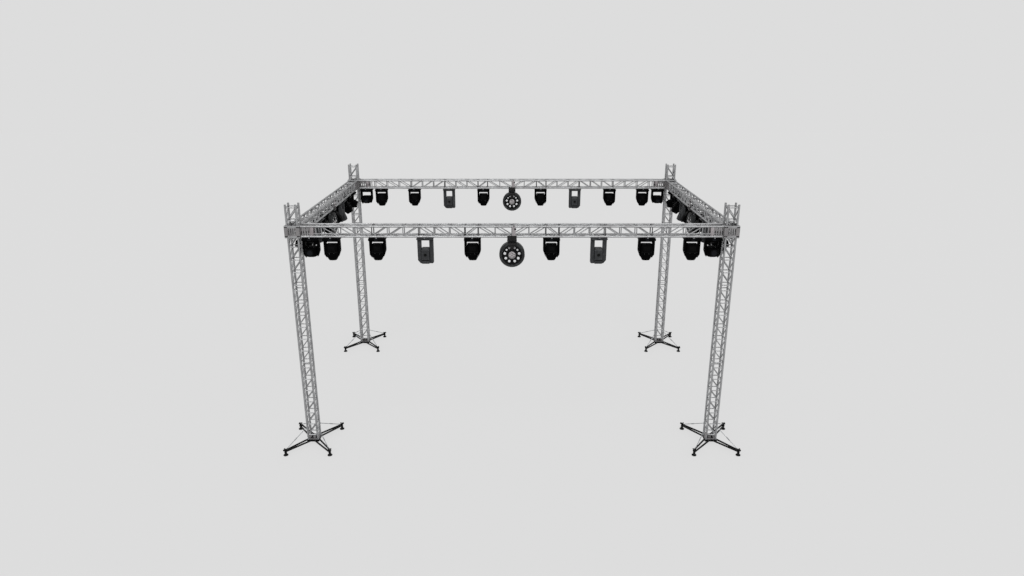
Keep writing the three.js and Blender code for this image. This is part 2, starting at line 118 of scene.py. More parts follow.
class Graph:
    """Writes nodes into one node tree."""

    def __init__(self, tree: bpy.types.NodeTree) -> None:
        """Args:
            tree: the material or geometry tree that the nodes go into.
        """
        self.tree = tree

    def node(self, kind: str, settings: dict | None = None, **values: object) -> bpy.types.Node:
        """Adds one node.

        Args:
            kind: Blender's name for the node's type.
            settings: properties of the node, set before its sockets.
            values: a number, vector, material or link for each socket, by its name with _ for a space,
                or i0, i1 and so on for sockets that share a name.

        Returns:
            The new node.
        """
        node = self.tree.nodes.new(kind)
        for name, value in (settings or {}).items():
            setattr(node, name, value)
        for name, value in values.items():
            indexed = name[0] == "i" and name[1:].isdigit()
            socket = node.inputs[int(name[1:])] if indexed else node.inputs[name.replace("_", " ")]
            self.feed(socket, value)
        return node

    def feed(self, socket: Socket, value: object) -> None:
        """Sets a socket's value, or links it where the value is a term, a socket or a list of sockets.

        Args:
            socket: the input.
            value: what it gets.
        """
        if isinstance(value, Term):
            value = value.socket
        if isinstance(value, Socket):
            self.tree.links.new(value, socket)
        elif isinstance(value, list):
            for item in value:
                self.tree.links.new(item, socket)
        else:
            socket.default_value = value

    def math(self, operation: str, *values: object, clamp: bool = False) -> "Term":
        """Adds a Math node.

        Args:
            operation: the node's operation.
            values: its one to three inputs.
            clamp: whether its result stays between 0 and 1.

        Returns:
            The result as a term.
        """
        inputs = {f"i{i}": value for i, value in enumerate(values)}
        node = self.node("ShaderNodeMath", {"operation": operation, "use_clamp": clamp}, **inputs)
        return Term(self, node.outputs[0])

    def vector(self, operation: str, *values: object, **named: object) -> Socket:
        """Adds a Vector Math node, its inputs by order or by name, and gives its vector."""
        inputs = {f"i{i}": value for i, value in enumerate(values)} | named
        return self.node("ShaderNodeVectorMath", {"operation": operation}, **inputs).outputs[0]


@dataclass(frozen=True)
class Term:
    """One number in a node tree, whose arithmetic adds Math nodes."""

    graph: Graph
    socket: Socket

    def __add__(self, other: object) -> "Term":
        """Sum."""
        return self.graph.math("ADD", self, other)

    def __sub__(self, other: object) -> "Term":
        """Difference."""
        return self.graph.math("SUBTRACT", self, other)

    def __rsub__(self, other: object) -> "Term":
        """Difference, from a plain number."""
        return self.graph.math("SUBTRACT", other, self)

    def __mul__(self, other: object) -> "Term":
        """Product."""
        return self.graph.math("MULTIPLY", self, other)

    def __rtruediv__(self, other: object) -> "Term":
        """Quotient of a plain number by this one."""
        return self.graph.math("DIVIDE", other, self)

    __radd__ = __add__
    __rmul__ = __mul__

    def root(self) -> "Term":
        """Square root."""
        return self.graph.math("SQRT", self)

    def step(self, low: float, high: float) -> "Term":
        """A smooth 0 to 1 as this goes from low to high.

        Args:
            low: where it is 0.
            high: where it is 1.

        Returns:
            The step as a term.
        """
        settings = {"interpolation_type": "SMOOTHSTEP"}
        node = self.graph.node("ShaderNodeMapRange", settings, Value=self, From_Min=low, From_Max=high)
        return Term(self.graph, node.outputs[0])


def cleared_graph(owner: Material | bpy.types.World) -> Graph:
    """A new material's or world's nodes, with none left in them.

    Args:
        owner: the material or the world.

    Returns:
        Its nodes.
    """
    owner.use_nodes = True
    owner.node_tree.nodes.clear()
    return Graph(owner.node_tree)


def new_object(name: str, data: bpy.types.ID) -> bpy.types.Object:
    """A new object in the scene, with that mesh, lamp or camera.

    Args:
        name: of the object.
        data: the mesh, lamp or camera.

    Returns:
        The object.
    """
    made = bpy.data.objects.new(name, data)
    bpy.context.scene.collection.objects.link(made)
    return made


@dataclass(frozen=True)
class Finish:
    """A surface finish: its plain numbers, and the patterns that vary them over the surface.

    A pattern reads Object coordinates. Each kind of finish adds its own pattern in pattern().
    """

    name: str
    colour: Point
    second: Point
    roughness: float
    metallic: float = 0.0
    coat: float = 0.0
    grain: float = 0.1
    grain_scale: float = 900.0
    specular: float = 0.5

    def material(self) -> Material:
        """Builds the material once, and gives the same one each time after that.

        Returns:
            The material.
        """
        known = bpy.data.materials.get(self.name)
        if known:
            return known
        made = bpy.data.materials.new(self.name)
        graph = cleared_graph(made)
        place = graph.node("ShaderNodeTexCoord").outputs["Object"]
        shade, rough, height = self.pattern(graph, place)
        colour = graph.node("ShaderNodeMix", {"data_type": "RGBA"}, i0=shade, i6=(*self.colour, 1),
                            i7=(*self.second, 1)).outputs[2]
        bump = graph.node("ShaderNodeBump", Strength=self.grain, Distance=0.001, Height=height)
        surface = graph.node("ShaderNodeBsdfPrincipled", Base_Color=colour, Roughness=rough,
                             Metallic=self.metallic, Coat_Weight=self.coat, Normal=bump.outputs[0])
        surface.inputs["Coat Roughness"].default_value = 0.12
        surface.inputs["Specular IOR Level"].default_value = self.specular
        self.glow(surface)
        graph.node("ShaderNodeOutputMaterial", Surface=surface.outputs[0])
        return made

    def glow(self, surface: bpy.types.Node) -> None:
        """Adds light of its own to the surface; a plain finish has none."""

    def noise(self, graph: Graph, place: Socket, scale: float, detail: float = 3.0) -> Term:
        """A noise of one number over the surface, at so many waves a metre."""
        made = graph.node("ShaderNodeTexNoise", Vector=place, Scale=scale, Detail=detail, Roughness=0.6)
        return Term(graph, made.outputs[0])

    def pattern(self, graph: Graph, place: Socket) -> tuple[Term, Term, Term]:
        """The finish's pattern.

        Args:
            graph: the material's nodes.
            place: Object coordinates.

        Returns:
            The share of the second colour, the roughness, and the height for the bump.
        """
        cloud = self.noise(graph, place, 9.0)
        fine = self.noise(graph, place, self.grain_scale, 1.0)
        return cloud.step(0.35, 0.7), cloud * 0.12 + (self.roughness - 0.06), fine


@dataclass(frozen=True)
class DrawnMetal(Finish):
    """Drawn or milled metal: fine grain, handling marks, and dull patches from cleaning after welding."""

    def pattern(self, graph: Graph, place: Socket) -> tuple[Term, Term, Term]:
        """Dull patches over fine grain, with sparse scratches across it. Args and Returns as in Finish."""
        patch = self.noise(graph, place, 5.0)
        rub = self.noise(graph, place, 38.0, 4.0)
        fine = self.noise(graph, place, self.grain_scale, 2.0)
        stretched = graph.vector("MULTIPLY", place, (160.0, 210.0, 185.0))
        cells = graph.node("ShaderNodeTexVoronoi", {"feature": "DISTANCE_TO_EDGE"},
                           Vector=stretched, Scale=0.6)
        scratch = 1.0 - Term(graph, cells.outputs[0]).step(0.0, 0.03)
        worn = scratch * rub.step(0.55, 0.75)
        shade = patch.step(0.36, 0.7) * 0.65 + worn * 0.5
        rough = patch * 0.22 + rub * 0.12 + (self.roughness - 0.16)
        return shade, rough, fine + worn * -1.5


@dataclass(frozen=True)
class WeldBead(Finish):
    """Weld beads: coarse ripples, and a dull bloom round them."""

    def pattern(self, graph: Graph, place: Socket) -> tuple[Term, Term, Term]:
        """Ripples a couple of millimetres apart. Args and Returns as in Finish."""
        ripple = self.noise(graph, place, 420.0, 2.0)
        bloom = self.noise(graph, place, 60.0)
        return bloom.step(0.35, 0.65), bloom * 0.2 + (self.roughness - 0.1), ripple


@dataclass(frozen=True)
class PowderCoat(Finish):
    """Powder coat: orange peel, with rubbed spots and small chips to the metal's primer."""

    def pattern(self, graph: Graph, place: Socket) -> tuple[Term, Term, Term]:
        """Orange peel, rubs and chips. Args and Returns as in Finish."""
        peel = self.noise(graph, place, 520.0, 1.0)
        rub = self.noise(graph, place, 14.0, 5.0)
        chips = self.noise(graph, place, 95.0, 2.0).step(0.7, 0.74)
        shade = rub.step(0.52, 0.8) * 0.45 + chips * 0.55
        return shade, rub * 0.25 + chips * 0.2 + (self.roughness - 0.12), peel + chips * -0.6


@dataclass(frozen=True)
class ZincPlate(Finish):
    """Galvanised steel: flat crystals, each a little lighter or darker."""

    def pattern(self, graph: Graph, place: Socket) -> tuple[Term, Term, Term]:
        """Crystals about a centimetre across. Args and Returns as in Finish."""
        cells = graph.node("ShaderNodeTexVoronoi", Vector=place, Scale=110.0)
        tone = graph.node("ShaderNodeSeparateColor", Color=cells.outputs["Color"])
        crystal = Term(graph, tone.outputs[0])
        return crystal * 0.8, crystal * 0.18 + (self.roughness - 0.09), self.noise(graph, place, 700.0, 1.0)


@dataclass(frozen=True)
class MouldedHousing(Finish):
    """Moulded housing: fine spark texture, dust in broad patches, and a few shiny rubs."""

    def pattern(self, graph: Graph, place: Socket) -> tuple[Term, Term, Term]:
        """Spark texture, dust and rubs. Args and Returns as in Finish."""
        spark = self.noise(graph, place, 1400.0, 1.0)
        dust = self.noise(graph, place, 11.0, 4.0)
        rub = self.noise(graph, place, 45.0, 3.0).step(0.6, 0.75)
        rough = dust * 0.2 - rub * 0.16 + (self.roughness - 0.08)
        return dust.step(0.45, 0.75) * 0.8 + rub * 0.15, rough, spark


@dataclass(frozen=True)
class LampGlow(Finish):
    """A lamp's frosted lens, which glows a little by itself."""

    strength: float = 0.3

    def glow(self, surface: bpy.types.Node) -> None:
        """Lets the lens shine weakly in its own colour."""
        surface.inputs["Emission Color"].default_value = (*self.colour, 1)
        surface.inputs["Emission Strength"].default_value = self.strength


class Finishes(Enum):
    """Every finish on the rig."""

    TUBE = DrawnMetal("truss_tube", (0.43, 0.435, 0.44), (0.28, 0.275, 0.28), 0.44, 1.0, grain=0.12)
    PLATE = DrawnMetal("truss_plate", (0.315, 0.305, 0.307), (0.21, 0.202, 0.206), 0.5, 1.0, grain=0.14)
    ROSE = DrawnMetal("end_plate", (0.43, 0.40, 0.407), (0.32, 0.295, 0.302), 0.48, 1.0, grain=0.12)
    BEAD = WeldBead("weld_bead", (0.31, 0.31, 0.32), (0.19, 0.19, 0.2), 0.55, 1.0, grain=0.6)
    ZINC = ZincPlate("zinc_steel", (0.40, 0.41, 0.42), (0.26, 0.27, 0.28), 0.44, 1.0, grain=0.1)
    COAT = PowderCoat("base_powder_coat", (0.002, 0.002, 0.0022), (0.008, 0.008, 0.0084), 0.5,
                      grain=0.25, specular=0.12)
    RUBBER = MouldedHousing("rubber_pad", (0.004, 0.004, 0.004), (0.010, 0.010, 0.0096), 0.8,
                            grain=0.3, specular=0.1)
    ROLLER = MouldedHousing("nylon_roller", (0.03, 0.03, 0.032), (0.06, 0.06, 0.06), 0.5, grain=0.1)
    SPOT = MouldedHousing("spot_housing", (0.0005, 0.0005, 0.0006), (0.0016, 0.0016, 0.0018), 0.6,
                          grain=0.22, specular=0.03)
    WASH = MouldedHousing("wash_housing", (0.021, 0.022, 0.024), (0.050, 0.052, 0.055), 0.55,
                          grain=0.22, specular=0.3)
    ROUND = MouldedHousing("round_housing", (0.010, 0.011, 0.0115), (0.030, 0.033, 0.034), 0.5,
                           grain=0.2, specular=0.35)
    BRACKET = MouldedHousing("bracket_black", (0.006, 0.0055, 0.0057), (0.018, 0.0166, 0.017), 0.5,
                             grain=0.2, specular=0.25)
    TRIM = MouldedHousing("black_trim", (0.0015, 0.0015, 0.0017), (0.005, 0.005, 0.0054), 0.42,
                          coat=0.03, grain=0.1, specular=0.1)
    GLASS = MouldedHousing("lens_glass", (0.002, 0.0025, 0.004), (0.004, 0.005, 0.008), 0.14,
                           coat=0.08, grain=0.0, specular=0.1)
    LAMP = LampGlow("lamp_lens", (0.62, 0.625, 0.63), (0.48, 0.485, 0.49), 0.24,
                    coat=0.4, grain=0.05, strength=0.03)
    # Painted shade: a darker, unlit lens colour for the two top lamps, standing in for the neck's shadow on
    # them.
    DIM_LAMP = LampGlow("upper_lamp_lens", (0.24, 0.235, 0.24), (0.17, 0.165, 0.17), 0.28,
                        coat=0.2, grain=0.05, strength=0.0)
    MIRROR = DrawnMetal("lamp_reflector", (0.50, 0.475, 0.48), (0.32, 0.30, 0.305), 0.34, 1.0,
                        grain=0.05)

    def material(self) -> Material:
        """The finish's material."""
        return self.value.material()


def rounded(width: float, depth: float, radius: float, steps: int = 4) -> list[Flat]:
    """The outline of a rectangle with round corners, about its centre.

    Args:
        width: its size along the first axis.
        depth: its size along the second.
        radius: of the corners.
        steps: flats in each corner.

    Returns:
        The points, anticlockwise.
    """
    points = []
    for quarter, (sx, sy) in enumerate(((1, 1), (-1, 1), (-1, -1), (1, -1))):
        for i in range(steps + 1):
            angle = (quarter + i / steps) * math.pi / 2
            points.append((sx * (width / 2 - radius) + radius * math.cos(angle),
                           sy * (depth / 2 - radius) + radius * math.sin(angle)))
    return points


def arc(radius: float, start: float, end: float, steps: int, centre: Flat = (0.0, 0.0)) -> list[Flat]:
    """Points along an arc, its angles in degrees, both ends included."""
    turns = [math.radians(start + (end - start) * i / steps) for i in range(steps + 1)]
    return [(centre[0] + radius * math.cos(t), centre[1] + radius * math.sin(t)) for t in turns]


def along(start: Sequence[float], end: Sequence[float]) -> Matrix:
    """The place whose +Z runs from start towards end."""
    way = Vector(end) - Vector(start)
    return Matrix.Translation(start) @ way.to_track_quat("Z", "Y").to_matrix().to_4x4()


def axes_place(x_way: Sequence[float], y_way: Sequence[float], z_way: Sequence[float],
               spot: Sequence[float] = (0, 0, 0)) -> Matrix:
    """The place at that spot whose X, Y and Z run along the three directions."""
    return Matrix.Translation(spot) @ Matrix((x_way, y_way, z_way)).transposed().to_4x4()


def face_place(facing: Sequence[float], spot: Sequence[float] = (0, 0, 0)) -> Matrix:
    """The place at that spot whose +Z looks along facing, which is level, and whose +Y is up."""
    out = Vector(facing)
    return axes_place(UP.cross(out), UP, out, spot)


def quarters() -> list[Matrix]:
    """The four quarter turns about Z."""
    return [Matrix.Rotation(turn * math.pi / 2, 4, "Z") for turn in range(4)]


def in_order(part: bmesh.types.BMesh) -> bmesh.types.BMesh:
    """Rebuilds a solid with its corners and faces in order of place, because a fill gives them in any order.

    Args:
        part: the solid, which is freed.

    Returns:
        The same solid, written alike in each run.
    """
    corners = sorted(part.verts, key=lambda corner: tuple(corner.co))
    rank = {corner: i for i, corner in enumerate(corners)}
    faces = []
    for face in part.faces:
        ranks = [rank[corner] for corner in face.verts]
        first = ranks.index(min(ranks))
        faces.append(ranks[first:] + ranks[:first])
    made = bmesh.new()
    again = [made.verts.new(corner.co) for corner in corners]
    for ranks in sorted(faces):
        made.faces.new([again[i] for i in ranks])
    part.free()
    return made


class Shaper:
    """Collects closed solids in one mesh, each with its finish."""

    def __init__(self) -> None:
        """Starts empty."""
        self.mesh = bmesh.new()
        self.materials: list[Material] = []

    def slot(self, material: Material) -> int:
        """The number of that material's slot, a new one where it has none.

        Args:
            material: the material.

        Returns:
            The slot's number.
        """
        if material not in self.materials:
            self.materials.append(material)
        return self.materials.index(material)

    def absorb(self, mesh: bpy.types.Mesh, place: Matrix = Matrix()) -> None:
        """Adds a whole mesh with its materials.

        Args:
            mesh: the mesh, which is kept.
            place: where it goes.
        """
        slots = [self.slot(material) for material in mesh.materials]
        start = len(self.mesh.faces)
        self.mesh.from_mesh(mesh)
        self.mesh.faces.ensure_lookup_table()
        added = self.mesh.faces[start:]
        for face in added:
            face.material_index = slots[face.material_index]
        bmesh.ops.transform(self.mesh, matrix=place, verts=list({v for face in added for v in face.verts}))

    def take(self, part: bmesh.types.BMesh, finish: Finishes, place: Matrix) -> None:
        """Adds one solid and frees it.

        Args:
            part: the solid.
            finish: its finish.
            place: where its coordinates are.
        """
        for face in part.faces:
            face.material_index = 0
        scratch = bpy.data.meshes.new("scratch")
        part.to_mesh(scratch)
        part.free()
        scratch.materials.append(finish.material())
        self.absorb(scratch, place)
        bpy.data.meshes.remove(scratch)

    def block(self, corner: Point, opposite: Point, finish: Finishes, bevel: float = 0.0015,
              place: Matrix = Matrix()) -> None:
        """A block with rounded edges.

        Args:
            corner: one of its corners.
            opposite: the corner furthest from that one.
            finish: its finish.
            bevel: width of its rounded edges.
            place: where its coordinates are.
        """
        part = bmesh.new()
        size = [abs(side) for side in Vector(opposite) - Vector(corner)]
        centre = (Vector(opposite) + Vector(corner)) / 2
        bmesh.ops.create_cube(part, size=1, matrix=Matrix.Translation(centre) @ Matrix.Diagonal((*size, 1)))
        bmesh.ops.bevel(part, geom=part.edges[:], offset=bevel, segments=2, profile=0.5, affect="EDGES")
        self.take(part, finish, place)

    def skin(self, rings: Sequence[Sequence[Point]], finish: Finishes, place: Matrix = Matrix()) -> None:
        """A solid skinned over rings of equal length, with flat ends.

        Args:
            rings: the rings from bottom to top, each anticlockwise seen from above.
            finish: its finish.
            place: where its coordinates are.
        """
        part = bmesh.new()
        layers = [[part.verts.new(point) for point in ring] for ring in rings]
        count = len(rings[0])
        for lower, upper in zip(layers, layers[1:]):
            for i in range(count):
                j = (i + 1) % count
                part.faces.new((lower[i], lower[j], upper[j], upper[i]))
        part.faces.new(layers[0][::-1])
        part.faces.new(layers[-1])
        self.take(part, finish, place)

    def prism(self, outline: Sequence[Flat], low: float, high: float, finish: Finishes,
              place: Matrix = Matrix(), bevel: float = 0.0) -> None:
        """An upright prism on an anticlockwise outline, its rims cut back by the bevel.

        Args:
            outline: its points.
            low: its lower end.
            high: its upper end.
            finish: its finish.
            place: where its coordinates are.
            bevel: how far its rims are cut back.
        """
        layers = [(low, 1.0), (high, 1.0)]
        if bevel:
            layers = [(low, 0.0), (low + bevel, 1.0), (high - bevel, 1.0), (high, 0.0)]
        reach = max(math.hypot(x, y) for x, y in outline)
        shrink = 1 - bevel / reach
        rings = [[(x * (s or shrink), y * (s or shrink), z) for x, y in outline] for z, s in layers]
        self.skin(rings, finish, place)

    def plate(self, outline: Sequence[Flat], holes: Sequence[Sequence[Flat]], thickness: float,
              finish: Finishes, place: Matrix = Matrix()) -> None:
        """A flat plate with holes through it, from z = 0 up.

        Args:
            outline: its outer points.
            holes: the points of each hole.
            thickness: of the plate.
            finish: its finish.
            place: where its coordinates are.
        """
        part = bmesh.new()
        for loop in (outline, *holes):
            corners = [part.verts.new((x, y, 0)) for x, y in loop]
            for a, b in zip(corners, corners[1:] + corners[:1]):
                part.edges.new((a, b))
        bmesh.ops.triangle_fill(part, use_beauty=True, use_dissolve=False, edges=part.edges[:])
        grown = bmesh.ops.extrude_face_region(part, geom=part.faces[:])["geom"]
        raised = [item for item in grown if isinstance(item, bmesh.types.BMVert)]
        bmesh.ops.translate(part, vec=(0, 0, thickness), verts=raised)
        bmesh.ops.recalc_face_normals(part, faces=part.faces[:])
        self.take(in_order(part), finish, place)

    def turned(self, profile: Sequence[Flat], finish: Finishes, place: Matrix = Matrix(),
               steps: int = 20) -> None:
        """A solid turned about Z.

        Args:
            profile: radius and height of its points, from the axis at the bottom to the axis at the top.
            finish: its finish.
            place: where its coordinates are.
            steps: flats round it.
        """
        part = bmesh.new()
        layers: list[list[bmesh.types.BMVert]] = []
        for radius, height in profile:
            count = steps if radius > 0 else 1
            turns = [2 * math.pi * i / steps for i in range(count)]
            points = [(radius * math.cos(t), radius * math.sin(t), height) for t in turns]
            layers.append([part.verts.new(point) for point in points])
        for lower, upper in zip(layers, layers[1:]):
            for i in range(steps):
                j = (i + 1) % steps
                corners = [lower[i % len(lower)], lower[j % len(lower)],
                           upper[j % len(upper)], upper[i % len(upper)]]
                part.faces.new(list(dict.fromkeys(corners)))
        self.take(part, finish, place)

    def disc(self, radius: float, low: float, high: float, finish: Finishes, place: Matrix,
             steps: int) -> None:
        """A flat disc about Z between two heights, with that many flats round it."""
        self.turned([(0, low), (radius, low), (radius, high), (0, high)], finish, place, steps)

    def rod(self, start: Sequence[float], end: Sequence[float], radius: float, finish: Finishes,
            steps: int = 12, rim: float = 0.0) -> None:
        """A round rod between two points, its rims cut back by rim.

        Args:
            start: middle of one end.
            end: middle of the other.
            radius: of the rod.
            finish: its finish.
            steps: flats round it.
            rim: how far its rims are cut back.
        """
        length = (Vector(end) - Vector(start)).length
        profile = [(0, 0), (radius - rim, 0), (radius, rim), (radius, length - rim),
                   (radius - rim, length), (0, length)]
        self.turned(list(dict.fromkeys(profile)), finish, along(start, end), steps)

    def tube(self, start: Sequence[float], end: Sequence[float], radius: float, finish: Finishes,
             bore: float = 0.06, wall: float = 0.003, steps: int = 20) -> None:
        """A tube that is open at both ends as far as the bore.

        Args:
            start: middle of one end.
            end: middle of the other.
            radius: outside.
            finish: its finish.
            bore: depth of the openings.
            wall: thickness.
            steps: flats round it.
        """
        length = (Vector(end) - Vector(start)).length
        inner = radius - wall
        profile = [(0, bore), (inner, bore), (inner, 0), (radius, 0), (radius, length), (inner, length),
                   (inner, length - bore), (0, length - bore)]
        self.turned(profile, finish, along(start, end), steps)

    def bolt(self, place: Sequence[float], facing: Sequence[float], size: float = 0.008) -> None:
        """A hexagon bolt head on its washer, where size is the bolt's thickness.

        Args:
            place: middle of the washer's foot.
            facing: which way the head looks.
            size: the bolt's thickness.
        """
        spot = along(place, Vector(place) + Vector(facing))
        self.disc(size, 0, 0.0015, Finishes.ZINC, spot, 12)
        self.prism(arc(size * 0.9, 0, 300, 5), 0.001, 0.001 + size * 0.6, Finishes.ZINC, spot, 0.0006)

    def mesh_copy(self, name: str) -> bpy.types.Mesh:
        """The collected solids as a mesh, smooth except at sharp edges.

        Args:
            name: of the mesh.

        Returns:
            The mesh; the shaper can't be used after that.
        """
        made = bpy.data.meshes.new(name)
        self.mesh.to_mesh(made)
        self.mesh.free()
        for material in self.materials:
            made.materials.append(material)
        made.shade_smooth()
        made.set_sharp_from_angle(angle=SHARP)
        return made

    def add(self, other: "Shaper", place: Matrix = Matrix()) -> None:
        """Adds all that another shaper holds, at that place, and frees it.

        Args:
            other: the other shaper.
            place: where its coordinates are.
        """
        mesh = other.mesh_copy("scratch")
        self.absorb(mesh, place)
        bpy.data.meshes.remove(mesh)

    def piece(self, name: str, body: str, slot: str, *nodes: str) -> bpy.types.Object:
        """Turns the collected solids into a finished piece.

        Args:
            name: of the piece.
            body: the body that it rides on.
            slot: the record's material slot; not used.
            nodes: the nodes that it stands for.

        Returns:
            The piece, at the origin.
        """
        made = new_object(name, self.mesh_copy(name))
        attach(made, body)
        if nodes:
            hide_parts(*nodes)
        log.info("%s: %d faces on %s", name, len(made.data.polygons), body)
        return made


class GeometryTree:
    """A Geometry Nodes tree with named inputs, run on a skeleton mesh to give a plain mesh."""

    def __init__(self, name: str, inputs: dict[str, str]) -> None:
        """Args:
            name: of the tree.
            inputs: the socket type of each input, by its name.
        """
        self.tree = bpy.data.node_groups.new(name, "GeometryNodeTree")
        self.tree.interface.new_socket("Geometry", in_out="INPUT", socket_type="NodeSocketGeometry")
        for label, kind in inputs.items():
            self.tree.interface.new_socket(label, in_out="INPUT", socket_type=kind)
        self.tree.interface.new_socket("Geometry", in_out="OUTPUT", socket_type="NodeSocketGeometry")
        self.graph = Graph(self.tree)
        self.given = self.graph.node("NodeGroupInput").outputs
        self.build()

    def build(self) -> None:
        """Writes the tree's nodes; each kind of tree has its own."""
        raise NotImplementedError

    def dress(self, geometry: Socket, material: str) -> Socket:
        """Realizes instances and sets the material given under that name.

        Args:
            geometry: what gets the material.
            material: the input's name.

        Returns:
            Plain geometry with its material.
        """
        real = self.graph.node("GeometryNodeRealizeInstances", Geometry=geometry).outputs[0]
        settings = {"Geometry": real, "Material": self.given[material]}
        return self.graph.node("GeometryNodeSetMaterial", **settings).outputs[0]

    def finish(self, parts: list[Socket]) -> None:
        """Joins the parts and gives them out."""
        joined = self.graph.node("GeometryNodeJoinGeometry", Geometry=parts).outputs[0]
        self.graph.node("NodeGroupOutput", Geometry=joined)

    def circle(self, sides: int | Socket, radius: Socket) -> Socket:
        """A round curve about Z."""
        kind = "GeometryNodeCurvePrimitiveCircle"
        return self.graph.node(kind, Resolution=sides, Radius=radius).outputs[0]

    def sweep(self, path: Socket, wire: Socket, caps: bool = False) -> Socket:
        """A mesh of one curve swept along another."""
        kind = "GeometryNodeCurveToMesh"
        return self.graph.node(kind, Curve=path, Profile_Curve=wire, Fill_Caps=caps).outputs[0]

    def copies(self, points: Socket, shape: Socket, **turned: object) -> Socket:
        """Copies of a shape on points."""
        kind = "GeometryNodeInstanceOnPoints"
        return self.graph.node(kind, Points=points, Instance=shape, **turned).outputs[0]

    def run(self, skeleton: bpy.types.Mesh, **values: object) -> bpy.types.Mesh:
        """Runs the tree.

        Args:
            skeleton: the mesh that it starts from, which is removed.
            values: each input's value, by its name with _ for a space.

        Returns:
            A plain mesh.
        """
        holder = new_object("skeleton", skeleton)
        modifier = holder.modifiers.new("nodes", "NODES")
        modifier.node_group = self.tree
        for item in self.tree.interface.items_tree:
            label = item.name.replace(" ", "_")
            if item.in_out == "INPUT" and label in values:
                modifier[item.identifier] = values[label]
        evaluated = holder.evaluated_get(bpy.context.evaluated_depsgraph_get())
        made = bpy.data.meshes.new_from_object(evaluated)
        holder.modifiers.remove(modifier)
        bpy.data.objects.remove(holder)
        bpy.data.meshes.remove(skeleton)
        return made


class LatticeTree(GeometryTree):
    """Makes each edge of the skeleton a lattice tube, with a weld bead where it meets a chord along X."""

    def __init__(self) -> None:
        """Names the tree's inputs."""
        number, material = "NodeSocketFloat", "NodeSocketMaterial"
        super().__init__("lattice_tubes", {"Tube Radius": number, "Tube Sides": "NodeSocketInt",
                                           "Chord Radius": number, "Bead Radius": number,
                                           "Tube": material, "Bead": material})

    def build(self) -> None:
        """Sweeps the tubes, then seats a ring on the chord at both ends of each."""
        graph, given = self.graph, self.given
        curve = graph.node("GeometryNodeMeshToCurve", Mesh=given["Geometry"]).outputs[0]
        section = self.circle(given["Tube Sides"], given["Tube Radius"])
        tubes = self.sweep(curve, section, caps=True)
        ends = graph.node("GeometryNodeCurveToPoints", {"mode": "EVALUATED"}, Curve=curve).outputs
        index = graph.node("GeometryNodeInputIndex").outputs[0]
        inward = 1.0 - graph.math("MODULO", index, 2.0) * 2.0
        way = graph.vector("SCALE", ends["Tangent"], Scale=inward)
        axis = Term(graph, graph.node("ShaderNodeSeparateXYZ", Vector=way).outputs[0])
        rise = (1.0 - axis * axis).root()
        shift = graph.vector("SCALE", way, Scale=Term(graph, given["Chord Radius"]) * (1.0 / rise))
        seats = graph.node("GeometryNodeSetPosition", Geometry=ends["Points"], Offset=shift).outputs[0]
        outward = graph.vector("MULTIPLY", way, (0.0, 1.0, 1.0))
        flat = graph.node("FunctionNodeAlignRotationToVector", {"axis": "Z"}, Vector=outward).outputs[0]
        turn = graph.node("FunctionNodeAlignRotationToVector", {"axis": "X", "pivot_axis": "Z"},
                          Rotation=flat, Vector=(1.0, 0.0, 0.0)).outputs[0]
        stretch = graph.node("ShaderNodeCombineXYZ", X=1.0 / rise, Y=1.0, Z=1.0).outputs[0]
        ring = self.sweep(self.circle(10, given["Tube Radius"]), self.circle(5, given["Bead Radius"]))
        beads = self.copies(seats, ring, Rotation=turn, Scale=stretch)
        self.finish([self.dress(tubes, "Tube"), self.dress(beads, "Bead")])


class SlatTree(GeometryTree):
    """Sets one slat at each point of the skeleton: cooling fins, vent bars and the like."""

    def __init__(self) -> None:
        """Names the tree's inputs."""
        super().__init__("slats", {"Slat Size": "NodeSocketVector", "Slat": "NodeSocketMaterial"})

    def build(self) -> None:
        """Instances a box on the points."""
        slat = self.graph.node("GeometryNodeMeshCube", Size=self.given["Slat Size"]).outputs[0]
        self.finish([self.dress(self.copies(self.given["Geometry"], slat), "Slat")])


class LampTree(GeometryTree):
    """Sets a lamp at each point of the skeleton, looking along -Y: a domed lens in a round bezel."""

    def __init__(self) -> None:
        """Names the tree's inputs."""
        number, material = "NodeSocketFloat", "NodeSocketMaterial"
        super().__init__("lamps", {"Lens Radius": number, "Bezel Radius": number,
                                   "Lens": material, "Bezel": material})

    def build(self) -> None:
        """Instances a flattened ball and a ring round it on the points."""
        graph, radius = self.graph, self.given["Lens Radius"]
        ball = graph.node("GeometryNodeMeshUVSphere", Segments=20, Rings=10, Radius=radius).outputs[0]
        lens = graph.node("GeometryNodeTransform", Geometry=ball, Scale=(1.0, 0.35, 1.0)).outputs[0]
        ring = self.sweep(self.circle(24, radius), self.circle(6, self.given["Bezel Radius"]))
        upright = graph.node("GeometryNodeTransform", Geometry=ring,
                             Rotation=(math.pi / 2, 0.0, 0.0)).outputs[0]
        self.finish([self.dress(self.copies(self.given["Geometry"], shape), material)
                     for shape, material in ((lens, "Lens"), (upright, "Bezel"))])


def points_mesh(points: Iterable[Sequence[float]], edges: Sequence[tuple[int, int]] = ()) -> bpy.types.Mesh:
    """A skeleton of loose points, or of edges between them.

    Args:
        points: the points.
        edges: pairs of the points' numbers.

    Returns:
        The skeleton.
    """
    made = bpy.data.meshes.new("skeleton")
    made.from_pydata([tuple(point) for point in points], edges, [])
    return made


